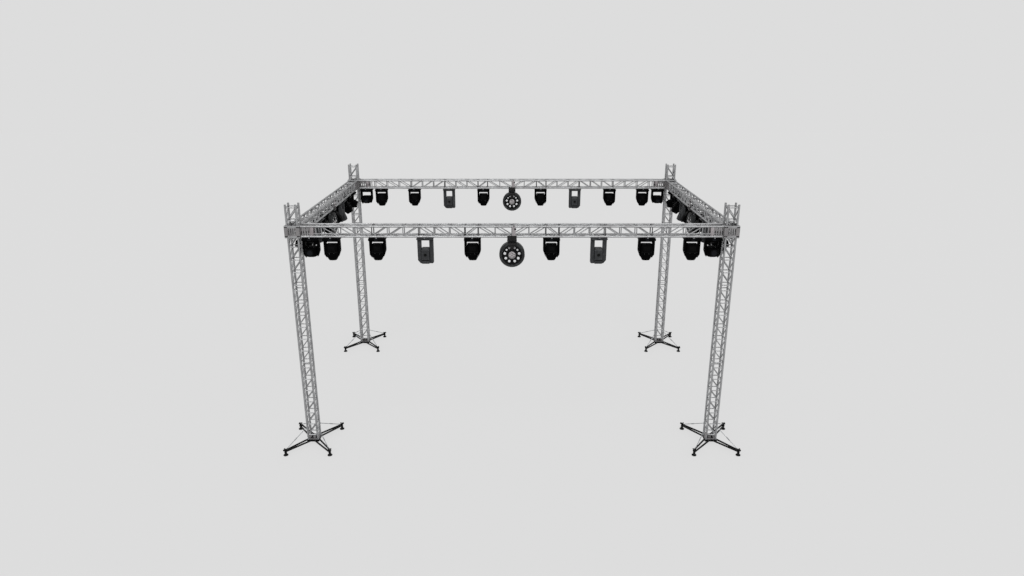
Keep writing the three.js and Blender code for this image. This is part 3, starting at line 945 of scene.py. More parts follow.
@dataclass(frozen=True)
class Trees:
    """The rig's Geometry Nodes trees, built once."""

    lattice: LatticeTree = field(default_factory=LatticeTree)
    slats: SlatTree = field(default_factory=SlatTree)
    lamps: LampTree = field(default_factory=LampTree)

    def lattice_tubes(self, shaper: Shaper, rods: Sequence[tuple[Sequence[float], Sequence[float]]]) -> None:
        """Adds a lattice tube between each two points to a shaper, welded to the chords along X.

        Args:
            shaper: what they are added to.
            rods: both ends of each tube's centre line.
        """
        edges = [(2 * i, 2 * i + 1) for i in range(len(rods))]
        skeleton = points_mesh([point for rod in rods for point in rod], edges)
        shaper.absorb(self.lattice.run(skeleton, Tube_Radius=BRACE_R, Tube_Sides=10, Chord_Radius=CHORD_R,
                                       Bead_Radius=BEAD_R, Tube=Finishes.TUBE.material(),
                                       Bead=Finishes.BEAD.material()))

    def slat_row(self, shaper: Shaper, start: Point, step: Point, count: int, size: Point,
                 finish: Finishes) -> None:
        """Adds a row of slats to a shaper.

        Args:
            shaper: what they are added to.
            start: centre of the first slat.
            step: from one slat to the next.
            count: how many.
            size: of one slat.
            finish: of all.
        """
        points = [Vector(start) + Vector(step) * i for i in range(count)]
        shaper.absorb(self.slats.run(points_mesh(points), Slat_Size=size, Slat=finish.material()))

    def lamp_group(self, shaper: Shaper, points: Sequence[Point], radius: float, lens: Finishes,
                   rim: float, bezel: Finishes = Finishes.TRIM) -> None:
        """Adds lamps that look along -Y to a shaper.

        Args:
            shaper: what they are added to.
            points: the middle of each lamp.
            radius: of the lenses.
            lens: the lenses' finish.
            rim: thickness of the bezels, from their middle.
            bezel: the bezels' finish.
        """
        shaper.absorb(self.lamps.run(points_mesh(points), Lens_Radius=radius, Bezel_Radius=rim,
                                     Lens=lens.material(), Bezel=bezel.material()))


@dataclass(frozen=True)
class LatticeRun:
    """A stretch of lattice with equal bays, whose diagonals all lean one way: 1 up to the right, -1 down."""

    start: float
    end: float
    bays: int
    lean: int


@dataclass(frozen=True)
class BoxTruss:
    """A box truss along X: four chords, posts and diagonals, with couplers where its sections join."""

    start: float
    end: float
    runs: tuple[LatticeRun, ...]
    joints: tuple[float, ...]
    all_round: bool
    seam: float = 0.001
    coupler_reach: float = 0.05
    coupler_r: float = CHORD_R - 0.0035
    pin_r: float = 0.0055
    pin_out: float = 0.018
    pin_shift: float = 0.022

    def lattice(self) -> list[tuple[Vector, Vector]]:
        """The centre lines of the posts and diagonals.

        Returns:
            Both ends of each.
        """
        rods: list[tuple[Vector, Vector]] = []
        half = CHORD_GAP / 2
        for quarter in range(4):
            face = Matrix.Rotation(quarter * math.pi / 2, 4, "X") @ Matrix.Translation((0, -half, 0))
            upright = quarter % 2 == 0 or self.all_round
            mirror = -1 if quarter >= 2 else 1
            for run in self.runs:
                pitch = (run.end - run.start) / run.bays
                for i in range(run.bays + 1):
                    x = run.start + i * pitch
                    lean = half * run.lean * mirror if upright else half * (1 if i % 2 else -1)
                    if upright or i in (0, run.bays):
                        rods.append((face @ Vector((x, 0, -half)), face @ Vector((x, 0, half))))
                    if i < run.bays:
                        rods.append((face @ Vector((x, 0, -lean)), face @ Vector((x + pitch, 0, lean))))
        return rods

    def build(self, shaper: Shaper, trees: Trees) -> None:
        """Adds the chords, the lattice, and the couplers with their pins.

        Args:
            shaper: what they are added to.
            trees: the rig's trees.
        """
        half = CHORD_GAP / 2
        seams = (self.start, *self.joints, self.end)
        for y in (-half, half):
            for z in (-half, half):
                for a, b in zip(seams, seams[1:]):
                    gap = [self.seam if end in self.joints else 0.0 for end in (a, b)]
                    shaper.tube((a + gap[0], y, z), (b - gap[1], y, z), CHORD_R, Finishes.TUBE)
                for joint in self.joints:
                    ends = [(joint + side * self.coupler_reach, y, z) for side in (-1, 1)]
                    shaper.rod(*ends, self.coupler_r, Finishes.ZINC, 16)
                    self.pins(shaper, joint, y, z)
        trees.lattice_tubes(shaper, self.lattice())

    def pins(self, shaper: Shaper, joint: float, y: float, z: float) -> None:
        """Two pins through a chord at a joint, their heads inside the truss, with a safety clip each.

        Args:
            shaper: what it is added to.
            joint: the joint's X.
            y: the chord's Y.
            z: the chord's Z.
        """
        inner = -math.copysign(CHORD_R + self.pin_out, y)
        for x in (joint - self.pin_shift, joint + self.pin_shift):
            shaper.rod((x, y, z), (x, y + inner, z), self.pin_r, Finishes.ZINC, 10, 0.001)
            clip = y + inner * 0.85
            shaper.rod((x, clip, z - 0.014), (x, clip, z + 0.014), 0.0015, Finishes.ZINC, 6)


def beam_runs(half: float, stops: Sequence[float], bays: Sequence[int], leans: Sequence[int],
              stub: float = 0.07) -> tuple[LatticeRun, ...]:
    """A beam's lattice, the same on both sides of its middle.

    Args:
        half: half the beam's length.
        stops: where each run ends, counted from the middle; the last run goes to the beam's end.
        bays: bays of each run.
        leans: lean of each run on the right half.
        stub: from the beam's end to its last post.

    Returns:
        The runs of both halves.
    """
    ends = (*stops, half - stub)
    starts = (0.0, *stops)
    right = [LatticeRun(*values) for values in zip(starts, ends, bays, leans)]
    left = [LatticeRun(-run.end, -run.start, run.bays, -run.lean) for run in right]
    return (*left, *right)


@dataclass(frozen=True)
class Rig:
    """The rig's main sizes, read from the frame."""

    tower_x: float
    tower_y: float
    tower_top: float
    tower_foot: float
    grid_z: float

    @classmethod
    def from_frame(cls) -> "Rig":
        """Reads the towers' places and the grid's height from the frame's boxes.

        Returns:
            The sizes.
        """
        low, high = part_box("mast_front_left")
        beam_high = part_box("beam_left")[1]
        centre = (low + high) / 2
        return cls(-centre.x, -centre.y, high.z, low.z, beam_high.z - ENVELOPE)

    def spot(self, sx: int, sy: int, z: float) -> Matrix:
        """The place at that height on the rig's side or corner: 0 is its middle, signs as in corners."""
        return Matrix.Translation((sx * self.tower_x, sy * self.tower_y, z))

    def corners(self) -> list[tuple[str, int, int]]:
        """Name and side of each tower: -1 for left and for front, 1 for right and for rear."""
        names = {(-1, -1): "front_left", (1, -1): "front_right", (-1, 1): "rear_left", (1, 1): "rear_right"}
        return [(name, sx, sy) for (sx, sy), name in names.items()]


@dataclass(frozen=True)
class Tower:
    """A lattice tower of three sections, joined by couplers."""

    rig: Rig
    sections: int = 3
    section_bays: int = 6
    stub: float = 0.07

    def build(self, name: str, sx: int, sy: int, trees: Trees) -> None:
        """Makes the tower at one corner and lets it stand for its node.

        Args:
            name: of the corner.
            sx: 1 on the right, -1 on the left.
            sy: 1 at the rear, -1 at the front.
            trees: the rig's trees.
        """
        rig = self.rig
        height = rig.tower_top - rig.tower_foot
        section = height / self.sections
        runs, joints = [], []
        for i in range(self.sections):
            low, high = i * section + self.stub, (i + 1) * section - self.stub
            runs.append(LatticeRun(low, high, self.section_bays, sx))
            joints.append((i + 1) * section)
        truss = Shaper()
        BoxTruss(0.0, height, tuple(runs), tuple(joints[:-1]), True).build(truss, trees)
        whole = Shaper()
        whole.add(truss, rig.spot(sx, sy, rig.tower_foot) @ Matrix.Rotation(-math.pi / 2, 4, "Y"))
        whole.piece(f"tower_{name}", "towers", "truss_aluminium", f"mast_{name}")


@dataclass(frozen=True)
class SleeveBlock:
    """The corner block that slides on a tower and carries two beams."""

    rig: Rig
    wall: float = 0.034
    ring_h: float = 0.052
    glide: float = 0.04
    gap: float = 0.0003
    lip: float = 0.002
    plate_t: float = 0.006
    leg_plates: float = 0.48
    end_plate_w: float = 0.075
    post_inset: float = 0.06

    def build(self, name: str, sx: int, sy: int, trees: Trees, light: Callable[[Shaper], None]) -> None:
        """Makes the block at one corner, with the hanger of the light under it.

        Args:
            name: of the corner.
            sx: 1 on the right, -1 on the left.
            sy: 1 at the rear, -1 at the front.
            trees: the rig's trees.
            light: adds the light's hanger to a shaper.
        """
        shaper = Shaper()
        outer, inner = ENVELOPE + self.wall, ENVELOPE + self.gap
        self.rings(shaper, outer, inner)
        self.glides(shaper, outer, inner)
        for way in (Vector((-sx, 0, 0)), Vector((0, -sy, 0))):
            self.leg(shaper, trees, way, outer)
        self.closed_sides(shaper, sx, sy, outer)
        whole = Shaper()
        whole.add(shaper, self.rig.spot(sx, sy, self.rig.grid_z))
        light(whole)
        whole.piece(f"sleeve_{name}", "grid", "truss_aluminium", f"sleeve_block_{name}")

    def rings(self, shaper: Shaper, outer: float, inner: float) -> None:
        """Upper and lower ring of four bars each, with a guide roller on each bar.

        Args:
            shaper: what it is added to.
            outer: the walls' outer face, from the tower's middle.
            inner: their inner face.
        """
        top = ENVELOPE + self.lip
        for side in (1, -1):
            for place in quarters():
                shaper.block((-outer, inner, side * (top - self.ring_h)), (inner, outer, side * top),
                             Finishes.TUBE, 0.003, place)
                self.roller(shaper, place, outer, side * top, side)

    def roller(self, shaper: Shaper, place: Matrix, outer: float, level: float, side: int) -> None:
        """A guide roller between two cheeks on a ring's face.

        Args:
            shaper: what it is added to.
            place: turns the roller to its side of the block.
            outer: the ring's outer face.
            level: height of the ring's face that the roller sits on.
            side: 1 above the ring, -1 below it.
        """
        axle_z = level + side * 0.012
        axle_y = outer - 0.016
        for x in (-0.02, 0.02):
            shaper.block((x - 0.003, axle_y - 0.014, level - side * 0.001),
                         (x + 0.003, axle_y + 0.014, level + side * 0.026), Finishes.PLATE, 0.001, place)
        for reach, radius, finish, steps, rim in ((0.016, 0.0115, Finishes.ROLLER, 16, 0.0015),
                                                  (0.026, 0.004, Finishes.ZINC, 8, 0.0)):
            ends = [place @ Vector((x, axle_y, axle_z)) for x in (-reach, reach)]
            shaper.rod(*ends, radius, finish, steps, rim)

    def glides(self, shaper: Shaper, outer: float, inner: float) -> None:
        """Corner angles between the rings, bolted at top and bottom.

        Args:
            shaper: what it is added to.
            outer: the walls' outer face, from the tower's middle.
            inner: their inner face.
        """
        back = inner - self.glide
        angle = [(outer, outer), (back, outer), (back, inner), (inner, inner), (inner, back), (outer, back)]
        reach, middle = CHORD_GAP / 2, (outer + back) / 2
        for place in quarters():
            shaper.prism(angle, -reach, reach, Finishes.PLATE, place)
            for z in (-0.075, -0.045, 0.045, 0.075):
                for spot, facing in (((outer, middle, z), (1, 0, 0)), ((middle, outer, z), (0, 1, 0))):
                    shaper.bolt(place @ Vector(spot), place.to_3x3() @ Vector(facing), 0.007)

    def closed_sides(self, shaper: Shaper, sx: int, sy: int, outer: float) -> None:
        """Slotted plates with upright ribs on the two outer faces.

        Args:
            shaper: what it is added to.
            sx: 1 on the right, -1 on the left.
            sy: 1 at the rear, -1 at the front.
            outer: the walls' outer face, from the tower's middle.
        """
        width, height = 2 * (outer - self.wall - self.glide), 2 * (ENVELOPE - self.ring_h)
        slot = rounded(0.024, height * 0.78, 0.0115)
        slots = [[(x + shift, y) for x, y in slot] for shift in (-0.075, -0.025, 0.025, 0.075)]
        for facing in (Vector((sx, 0, 0)), Vector((0, sy, 0))):
            place = face_place(facing, facing * (outer - 0.010))
            shaper.plate(rounded(width, height, 0.004), slots, self.plate_t, Finishes.PLATE, place)
            for x in (-0.05, 0.0, 0.05):
                shaper.block((x - 0.006, -height / 2, self.plate_t - 0.001), (x + 0.006, height / 2, 0.0095),
                             Finishes.TUBE, 0.002, place)

    def leg(self, shaper: Shaper, trees: Trees, way: Vector, outer: float) -> None:
        """A short truss leg: four tube ends, slotted side plates, an end plate, a diagonal and the end posts.

        Args:
            shaper: what it is added to.
            trees: the rig's trees.
            way: unit vector from the tower towards the beam.
            outer: where the leg starts.
        """
        half = CHORD_GAP / 2
        across = way.cross(UP)
        end = BLOCK_REACH - self.gap
        local = Shaper()
        for y in (-half, half):
            for z in (-half, half):
                local.tube((outer - 0.002, y, z), (end, y, z), CHORD_R, Finishes.TUBE)
            self.leg_side(local, outer - 0.002, math.copysign(1, y))
        rods = []
        station, back = end - self.post_inset, outer + 0.02
        for side in (-half, half):
            rods.append(((station, side, -half), (station, side, half)))
            rods.append(((station, -half, side), (station, half, side)))
        rods.append(((back, -half, half), (self.leg_plates, half, half)))
        trees.lattice_tubes(local, rods)
        shaper.add(local, axes_place(way, across, way.cross(across)))

    def leg_side(self, local: Shaper, start: float, side: float) -> None:
        """The plates on one side of a leg: one with slots, low holes and ribs, then a plain bolted one.

        Args:
            local: what they are added to, its X along the leg.
            start: where they start.
            side: 1 or -1 across the leg.
        """
        face = side * (CHORD_GAP / 2 + self.plate_t)
        place = axes_place((1, 0, 0), (0, 0, side), (0, -side, 0), (0, face, 0))
        reach, slotted = CHORD_GAP / 2 - 0.018, self.leg_plates - self.end_plate_w - 0.004
        outline = [(start, -reach), (slotted, -reach), (slotted, reach), (start, reach)]
        middles = [start + (slotted - start) * (i + 0.5) / 4 for i in range(4)]
        slot = rounded(0.028, reach * 1.08, 0.0135)
        holes = [[(x + middle, y + 0.028) for x, y in slot] for middle in middles]
        holes += [arc(0.017, 0, 345, 23, (middle, -0.068)) for middle in middles[::2]]
        flat = face_place((0, -1, 0), (0, face if side > 0 else face + self.plate_t, 0))
        local.plate(outline, holes, self.plate_t, Finishes.PLATE, flat)
        for a, b in zip(middles, middles[1:]):
            middle = (a + b) / 2
            local.block((middle - 0.006, -reach, -0.004), (middle + 0.006, reach, 0.001), Finishes.TUBE,
                        0.0015, place)
        local.block((slotted + 0.004, face, -reach), (self.leg_plates, face - side * self.plate_t, reach),
                    Finishes.ROSE, 0.0015)
        for z in (-0.07, 0.0, 0.07):
            local.bolt((self.leg_plates - self.end_plate_w / 2, face, z), (0, side, 0), 0.006)


@dataclass(frozen=True)
class GroundBase:
    """A tower's base: square frame, four double-rail outriggers, levelling jacks, stays and a hoop."""

    rig: Rig
    foot: Flat = (0.55, 0.655)
    frame_out: float = 0.155
    frame_rail: float = 0.07
    frame_low: float = 0.09
    frame_high: float = 0.15
    rail_w: float = 0.029
    rail_h: float = 0.032
    root: float = 0.156
    tip: float = 0.076
    start: float = 0.13
    pad_r: float = 0.06
    jack_top: float = 0.18
    handle: Point = (0.028, 0.10, 0.024)
    stay_z: float = 0.47
    stay_r: float = 0.008
    hoop_z: float = 0.172
    hoop_low: float = 0.105
    hoop_r: Flat = (0.034, 0.060)
    hoop_t: float = 0.018

    def build(self, name: str, sx: int, sy: int) -> None:
        """Makes the base at one corner and lets it stand for its node.

        Args:
            name: of the corner.
            sx: 1 on the right, -1 on the left.
            sy: 1 at the rear, -1 at the front.
        """
        shaper = Shaper()
        self.square(shaper)
        for side_x in (-1, 1):
            for side_y in (-1, 1):
                x, y = side_x * self.foot[0], side_y * self.foot[1]
                self.outrigger(shaper, x, y)
                self.jack(shaper, x, y)
                self.stay(shaper, side_x, side_y, x, y)
        self.hoop(shaper)
        whole = Shaper()
        whole.add(shaper, self.rig.spot(sx, sy, 0))
        whole.piece(f"ground_base_{name}", "towers", "base_black", f"base_{name}")

    def square(self, shaper: Shaper) -> None:
        """The frame's four bars on their plate, a coupler for each tower tube, and bolts.

        Args:
            shaper: what it is added to.
        """
        out, rail = self.frame_out, self.frame_rail
        half = CHORD_GAP / 2
        edge, opening = 2 * out - 0.008, 2 * (out - rail) - 0.004
        shaper.plate(rounded(edge, edge, 0.006), [rounded(opening, opening, 0.004)],
                     self.frame_high - 0.098, Finishes.PLATE, Matrix.Translation((0, 0, 0.1)))
        low, high = self.frame_high - 0.002, self.rig.tower_foot - 0.0005
        coupler = [(0, low), (0.027, low), (0.027, low + 0.006), (0.019, low + 0.012), (0.0215, high),
                   (0, high)]
        for place in quarters():
            shaper.block((-out, out - rail, self.frame_low), (out - rail, out, self.frame_high),
                         Finishes.COAT, 0.004, place)
            corner = place @ Vector((half, half, 0))
            shaper.turned(coupler, Finishes.ZINC, Matrix.Translation((corner.x, corner.y, 0)), 20)
            for z in (0.105, 0.135):
                for y in (0.06, -0.06):
                    shaper.bolt(place @ Vector((out, y, z)), place.to_3x3() @ Vector((1, 0, 0)), 0.008)

    def outrigger(self, shaper: Shaper, x: float, y: float) -> None:
        """Two rails that run together at the jack, with a web plate between their ends.

        Args:
            shaper: what it is added to.
            x: the jack's X from the tower's middle.
            y: the jack's Y.
        """
        reach = math.hypot(x, y)
        place = Matrix.Rotation(math.atan2(y, x), 4, "Z")
        z = (self.frame_low + self.frame_high) / 2
        low, high = z - self.rail_h / 2, z + self.rail_h / 2
        root, tip, wide = self.root / 2, self.tip / 2, self.rail_w
        for side in (-1, 1):
            rail = [(self.start, side * (root - wide)), (self.start, side * root), (reach, side * tip),
                    (reach, side * max(tip - wide, 0.0005))]
            self.rail(shaper, rail[::-side], low, high, place)
        web = [(reach - 0.07, -0.025), (reach, -0.025), (reach, 0.025), (reach - 0.07, 0.025)]
        shaper.prism(web, low + 0.004, high - 0.004, Finishes.COAT, place)
        for side in (-1, 1):
            shaper.bolt(place @ Vector((reach - 0.046, side * 0.012, high - 0.005)), UP, 0.006)

    def rail(self, shaper: Shaper, outline: Sequence[Flat], low: float, high: float, place: Matrix) -> None:
        """One rail of an outrigger, its long edges cut.

        Args:
            shaper: what it is added to.
            outline: its four corners.
            low: its underside.
            high: its top.
            place: where its coordinates are.
        """
        cx = sum(p[0] for p in outline) / 4
        cy = sum(p[1] for p in outline) / 4
        cut = 0.003
        inset = [(x + math.copysign(cut, cx - x), y + math.copysign(cut, cy - y)) for x, y in outline]
        rings = [[(x, y, low) for x, y in inset], [(x, y, low + cut) for x, y in outline],
                 [(x, y, high - cut) for x, y in outline], [(x, y, high) for x, y in inset]]
        shaper.skin(rings, Finishes.COAT, place)

    def jack(self, shaper: Shaper, x: float, y: float) -> None:
        """A levelling jack: rubber foot, bell pad, thread, sleeve, cross handle, knob and nut.

        Args:
            shaper: what it is added to.
            x: the jack's X from the tower's middle.
            y: the jack's Y.
        """
        place = Matrix.Translation((x, y, 0))
        r = self.pad_r
        shaper.disc(r - 0.002, 0, 0.005, Finishes.RUBBER, place, 28)
        bell = [(0, 0.004), (r, 0.004), (r, 0.014), (r - 0.006, 0.021), (r - 0.020, 0.030),
                (0.029, 0.048), (0, 0.048)]
        shaper.turned(bell, Finishes.COAT, place, 28)
        thread = [(0, 0.04)]
        for i in range(5):
            z = 0.044 + i * 0.0065
            thread += [(0.0195, z), (0.023, z + 0.00325)]
        shaper.turned([*thread, (0.0195, 0.078), (0, 0.078)], Finishes.COAT, place, 16)
        wide, long, high = self.handle
        top = self.jack_top - high + 0.003
        sleeve = [(0, 0.068), (0.031, 0.068), (0.033, 0.072), (0.033, 0.082), (0.0295, 0.086),
                  (0.0295, top - 0.012), (0.033, top - 0.008), (0.033, top), (0, top)]
        shaper.turned(sleeve, Finishes.COAT, place, 24)
        middle = Matrix.Translation((x, y, self.jack_top - high / 2))
        turn = middle @ Matrix.Rotation(math.atan2(y, x), 4, "Z")
        shaper.block((-wide / 2, -long / 2, -high / 2), (wide / 2, long / 2, high / 2), Finishes.COAT,
                     0.007, turn)
        knob = [turn @ Vector((out, 0, high / 2 - 0.0265)) for out in (0.01, 0.058)]
        shaper.rod(*knob, 0.0245, Finishes.COAT, 20, 0.006)
        shaper.turned([(0, 0), (0.012, 0), (0.009, 0.004), (0, 0.004)], Finishes.ZINC,
                      Matrix.Translation((x, y, self.jack_top - 0.0005)), 6)

    def stay(self, shaper: Shaper, sx: int, sy: int, x: float, y: float) -> None:
        """A stay with a turnbuckle, from its lug on the jack up to a clamp on the tower's corner tube.

        Args:
            shaper: what it is added to.
            sx: the sign of its X.
            sy: the sign of its Y.
            x: the jack's X from the tower's middle.
            y: the jack's Y.
        """
        foot = Vector((x, y, self.jack_top - self.handle[2] - 2 * self.stay_r))
        face = sx * (ENVELOPE + self.stay_r + 0.001)
        high = Vector((face, sy * CHORD_GAP / 2, self.stay_z))
        way = high - foot
        low = foot + way * 0.07
        shaper.rod(foot + way * 0.025, low + way * 0.01, self.stay_r * 1.4, Finishes.COAT, 8, 0.002)
        shaper.rod(low, high, self.stay_r, Finishes.ZINC, 10)
        shaper.rod(low + way * 0.36, low + way * 0.50, self.stay_r * 1.6, Finishes.ZINC, 6, 0.002)
        centre = Vector((sx * CHORD_GAP / 2, sy * CHORD_GAP / 2, self.stay_z))
        band = arc(CHORD_R + 0.005, 0, 345, 23)
        inside = arc(CHORD_R + 0.0003, 0, 345, 23)
        shaper.plate(band, [inside], 0.03, Finishes.ZINC, Matrix.Translation(centre - UP * 0.015))
        shaper.bolt(high - UP * 0.002, (sx, 0, 0), 0.006)

    def hoop(self, shaper: Shaper) -> None:
        """The hoop on its cross plate in the frame.

        Args:
            shaper: what it is added to.
        """
        inner, outer = self.hoop_r
        low, centre = self.hoop_low, (0.0, self.hoop_z)
        outline = [(outer, low), *arc(outer, 0, 180, 16, centre), (-outer, low),
                   (-inner, low), *arc(inner, 180, 0, 16, centre), (inner, low)]
        place = face_place((0, -1, 0), (0, self.hoop_t / 2, 0))
        shaper.plate(outline, [], self.hoop_t, Finishes.COAT, place)
        shaper.block((-0.1, -0.05, 0.094), (0.1, 0.05, 0.108), Finishes.PLATE, 0.002)
        for x in (-0.075, 0.075):
            for y in (-0.03, 0.03):
                shaper.bolt((x, y, 0.1075), UP, 0.007)


class LightKind(Enum):
    """The three kinds of light, by the record's material slot of their heads."""

    SPOT = "spot_black"
    WASH = "wash_grey"
    ROUND = "round_black"


@dataclass(frozen=True)
class Light:
    """One light's place, read from its tilt joint.

    pivot is the middle of its tilt axis, beam_way the unit vector along its beam, and tilt its rest angle.
    """

    name: str
    kind: LightKind
    body: str
    pivot: Vector
    beam_way: Vector
    tilt: float

    def stand(self) -> Matrix:
        """The place of its hanger and yoke: X along the beam, Z up, the tilt axis at the origin."""
        return axes_place(self.beam_way, UP.cross(self.beam_way), UP, self.pivot)

    def head_place(self) -> Matrix:
        """The place of its head at rest."""
        return self.stand() @ Matrix.Rotation(-self.tilt, 4, "X")

    def long_side(self) -> int:
        """The side of the yoke whose arm is longer, 1 or -1: the one away from the beam's middle."""
        return 1 if self.pivot.dot(self.beam_way) > 0 else -1


def read_lights() -> list[Light]:
    """Reads every light from the record's tilt joints and the heads' material slots.

    Returns:
        The lights, in the record's order.
    """
    record = frame["record"]
    slots = {part["node"]: part["material_slot"] for part in record["subparts"]}
    lights = []
    for joint in record["behaviour"]["joints"]:
        if not joint["name"].startswith("tilt_"):
            continue
        node = joint["child"]
        low, high = joint["range_deg"]
        lights.append(Light(node.removeprefix("head_"), LightKind(slots[node]), joint["parent"],
                            Vector(joint["pos_m"]), -Vector(joint["axis"]), math.radians(-(low + high) / 2)))
    return lights


@dataclass(frozen=True)
class ClampPair:
    """Two hook clamps that carry a light on the beam's lower tubes."""

    base_z: float
    width: float = 0.03

    def build(self, shaper: Shaper) -> None:
        """Adds both clamps, with the block, the screw and the wing nut of each.

        Args:
            shaper: what it is added to.
        """
        place = face_place((1, 0, 0), (-self.width / 2, 0, 0))
        tube_z = self.base_z + HANG - CHORD_GAP / 2
        under = tube_z - CHORD_R
        for side in (-1, 1):
            y = side * CHORD_GAP / 2
            centre = (y, tube_z)
            hook = [*arc(CHORD_R + 0.009, -60, 220, 16, centre), *arc(CHORD_R + 0.0005, 220, -60, 16, centre)]
            shaper.plate(hook, [], self.width, Finishes.TUBE, place)
            shaper.block((-0.02, y - 0.009, self.base_z - 0.001), (0.02, y + 0.009, under + 0.004),
                         Finishes.TRIM, 0.002)
            shaper.rod((0, y, under - 0.010), (0, y + side * 0.034, under - 0.010), 0.005, Finishes.ZINC, 8)
            wing_y = y + side * 0.03
            shaper.block((-0.018, wing_y - 0.003, under - 0.016), (0.018, wing_y + 0.003, under - 0.005),
                         Finishes.ZINC, 0.0025)


@dataclass(frozen=True)
class ArmTail:
    """How a yoke's arm ends: its cut's heights below the tilt axis, and its foot's share of its width."""

    corner: float
    end: float
    foot_share: float


@dataclass(frozen=True)
class MovingLight:
    """What both kinds of moving head share, in metres from the middle of the tilt axis, lens down."""

    trees: Trees
    housing: Finishes
    length: float
    gap: float
    base_top: float
    base_low: float
    bar_low: float
    arm_depth: float = 0.12
    base_length: float = 0.392

    def hanger(self, shaper: Shaper) -> None:
        """The base housing with its clamps, handles, display, sockets and screws.

        Args:
            shaper: what it is added to.
        """
        half, deep = self.base_length / 2, BASE_DEPTH / 2
        z0, z1 = self.base_low, self.base_top
        outline = rounded(2 * half, 2 * deep, 0.02)
        lid = rounded(2 * half - 0.03, 2 * deep - 0.03, 0.015)
        shaper.prism(outline, z0, z1, self.housing, bevel=0.004)
        shaper.prism(lid, z1 - 0.001, z1 + 0.004, self.housing, bevel=0.002)
        ClampPair(z1).build(shaper)
        middle = (z0 + z1) / 2
        height = (z1 - z0) * 0.3
        shaper.block((-0.05, -deep - 0.0015, middle - height), (0.03, -deep + 0.002, middle + height),
                     Finishes.GLASS, 0.001)
        for x in (0.055, 0.075, 0.095):
            shaper.rod((x, -deep + 0.002, middle), (x, -deep - 0.003, middle), min(0.006, height),
                       Finishes.TRIM, 12, 0.001)
        for x in (-0.12, -0.085, 0.085, 0.12):
            shaper.rod((x, deep - 0.002, middle), (x, deep + 0.004, middle), min(0.012, height * 1.3),
                       Finishes.TRIM, 16, 0.001)
        for side in (-1, 1):
            grip = side * (half - 0.012)
            ends = [(grip, -0.05, z1 + 0.001), (grip, -0.05, z1 + 0.022), (grip, 0.05, z1 + 0.022),
                    (grip, 0.05, z1 + 0.001)]
            for a, b in zip(ends, ends[1:]):
                shaper.rod(a, b, 0.005, Finishes.TRIM, 8)
            for y in (-deep + 0.02, deep - 0.02):
                shaper.bolt((side * (half - 0.03), y, z1 - 0.0005), UP, 0.004)

    def arm(self, shaper: Shaper, side: int, tail: ArmTail) -> None:
        """One arm of the yoke with its cover, bearing cap and screws.

        Args:
            shaper: what it is added to.
            side: 1 or -1 along the beam.
            tail: how the arm ends.
        """
        inner, outer = self.gap / 2 + 0.0003, self.length / 2
        deep = self.arm_depth / 2
        top = self.bar_low + 0.03
        foot = inner + tail.foot_share * (outer - inner)
        levels = [(top, outer, deep), (0.05, outer, deep), (-tail.corner, outer, deep),
                  (-tail.end, foot, deep * 0.9)]
        rings = []
        for z, edge, reach in reversed(levels):
            cx, width = side * (edge + inner) / 2, edge - inner
            corners = rounded(width, 2 * reach, min(0.012, width * 0.4), 3)
            rings.append([(cx + px, py, z) for px, py in corners])
        shaper.skin(rings, self.housing)
        low = min(tail.corner, 0.03) - 0.008
        cover = face_place((side, 0, 0), (side * (outer - 0.0005), 0, (top - low) / 2))
        shaper.prism(rounded(2 * deep - 0.024, top + low, 0.016), 0, 0.0022, self.housing, cover, 0.001)
        for y in (-deep + 0.02, deep - 0.02):
            for z in (top - 0.03, 0.045):
                shaper.bolt((side * (outer + 0.001), y, z), (side, 0, 0), 0.003)
        boss = face_place((-side, 0, 0), (side * (inner + 0.001), 0, 0))
        shaper.disc(0.034, 0, 0.0012, Finishes.TRIM, boss, 24)
        if tail.corner > 0.035:
            bearing = face_place((side, 0, 0), (side * (outer - 0.0008), 0, 0))
            cap = [(0, 0), (0.03, 0), (0.03, 0.002), (0.026, 0.0032), (0, 0.0032)]
            shaper.turned(cap, Finishes.TRIM, bearing, 24)

    def cross_bar(self, shaper: Shaper) -> None:
        """The yoke's cross bar under the base.

        Args:
            shaper: what it is added to.
        """
        top = self.base_low - 0.0006
        deep = self.arm_depth / 2
        out = self.length / 2
        cut = 0.004
        rings = []
        for z, grow in ((self.bar_low, -cut), (self.bar_low + cut, 0.0), (top - cut, 0.0), (top, -cut)):
            outline = rounded(2 * (out + grow), 2 * (deep + grow), 0.014)
            rings.append([(x, y, z) for x, y in outline])
        shaper.skin(rings, self.housing)

    def yoke(self, shaper: Shaper, side: int) -> None:
        """The whole yoke, its longer arm on that side.

        Args:
            shaper: what it is added to.
            side: 1 or -1 along the beam.
        """
        self.cross_bar(shaper)
        for each, tail in zip((side, -side), self.tails()):
            self.arm(shaper, each, tail)

    def tails(self) -> tuple[ArmTail, ArmTail]:
        """How the arm away from the beam's middle ends, then the other one."""
        raise NotImplementedError

    def head(self, shaper: Shaper) -> None:
        """The head; each kind has its own."""
        raise NotImplementedError


def body_rings(levels: Sequence[tuple[float, float, float, float]]) -> list[list[Point]]:
    """Rings of a head's body from height, width, depth and corner radius."""
    return [[(x, y, z) for x, y in rounded(w, d, r, 5)] for z, w, d, r in levels]


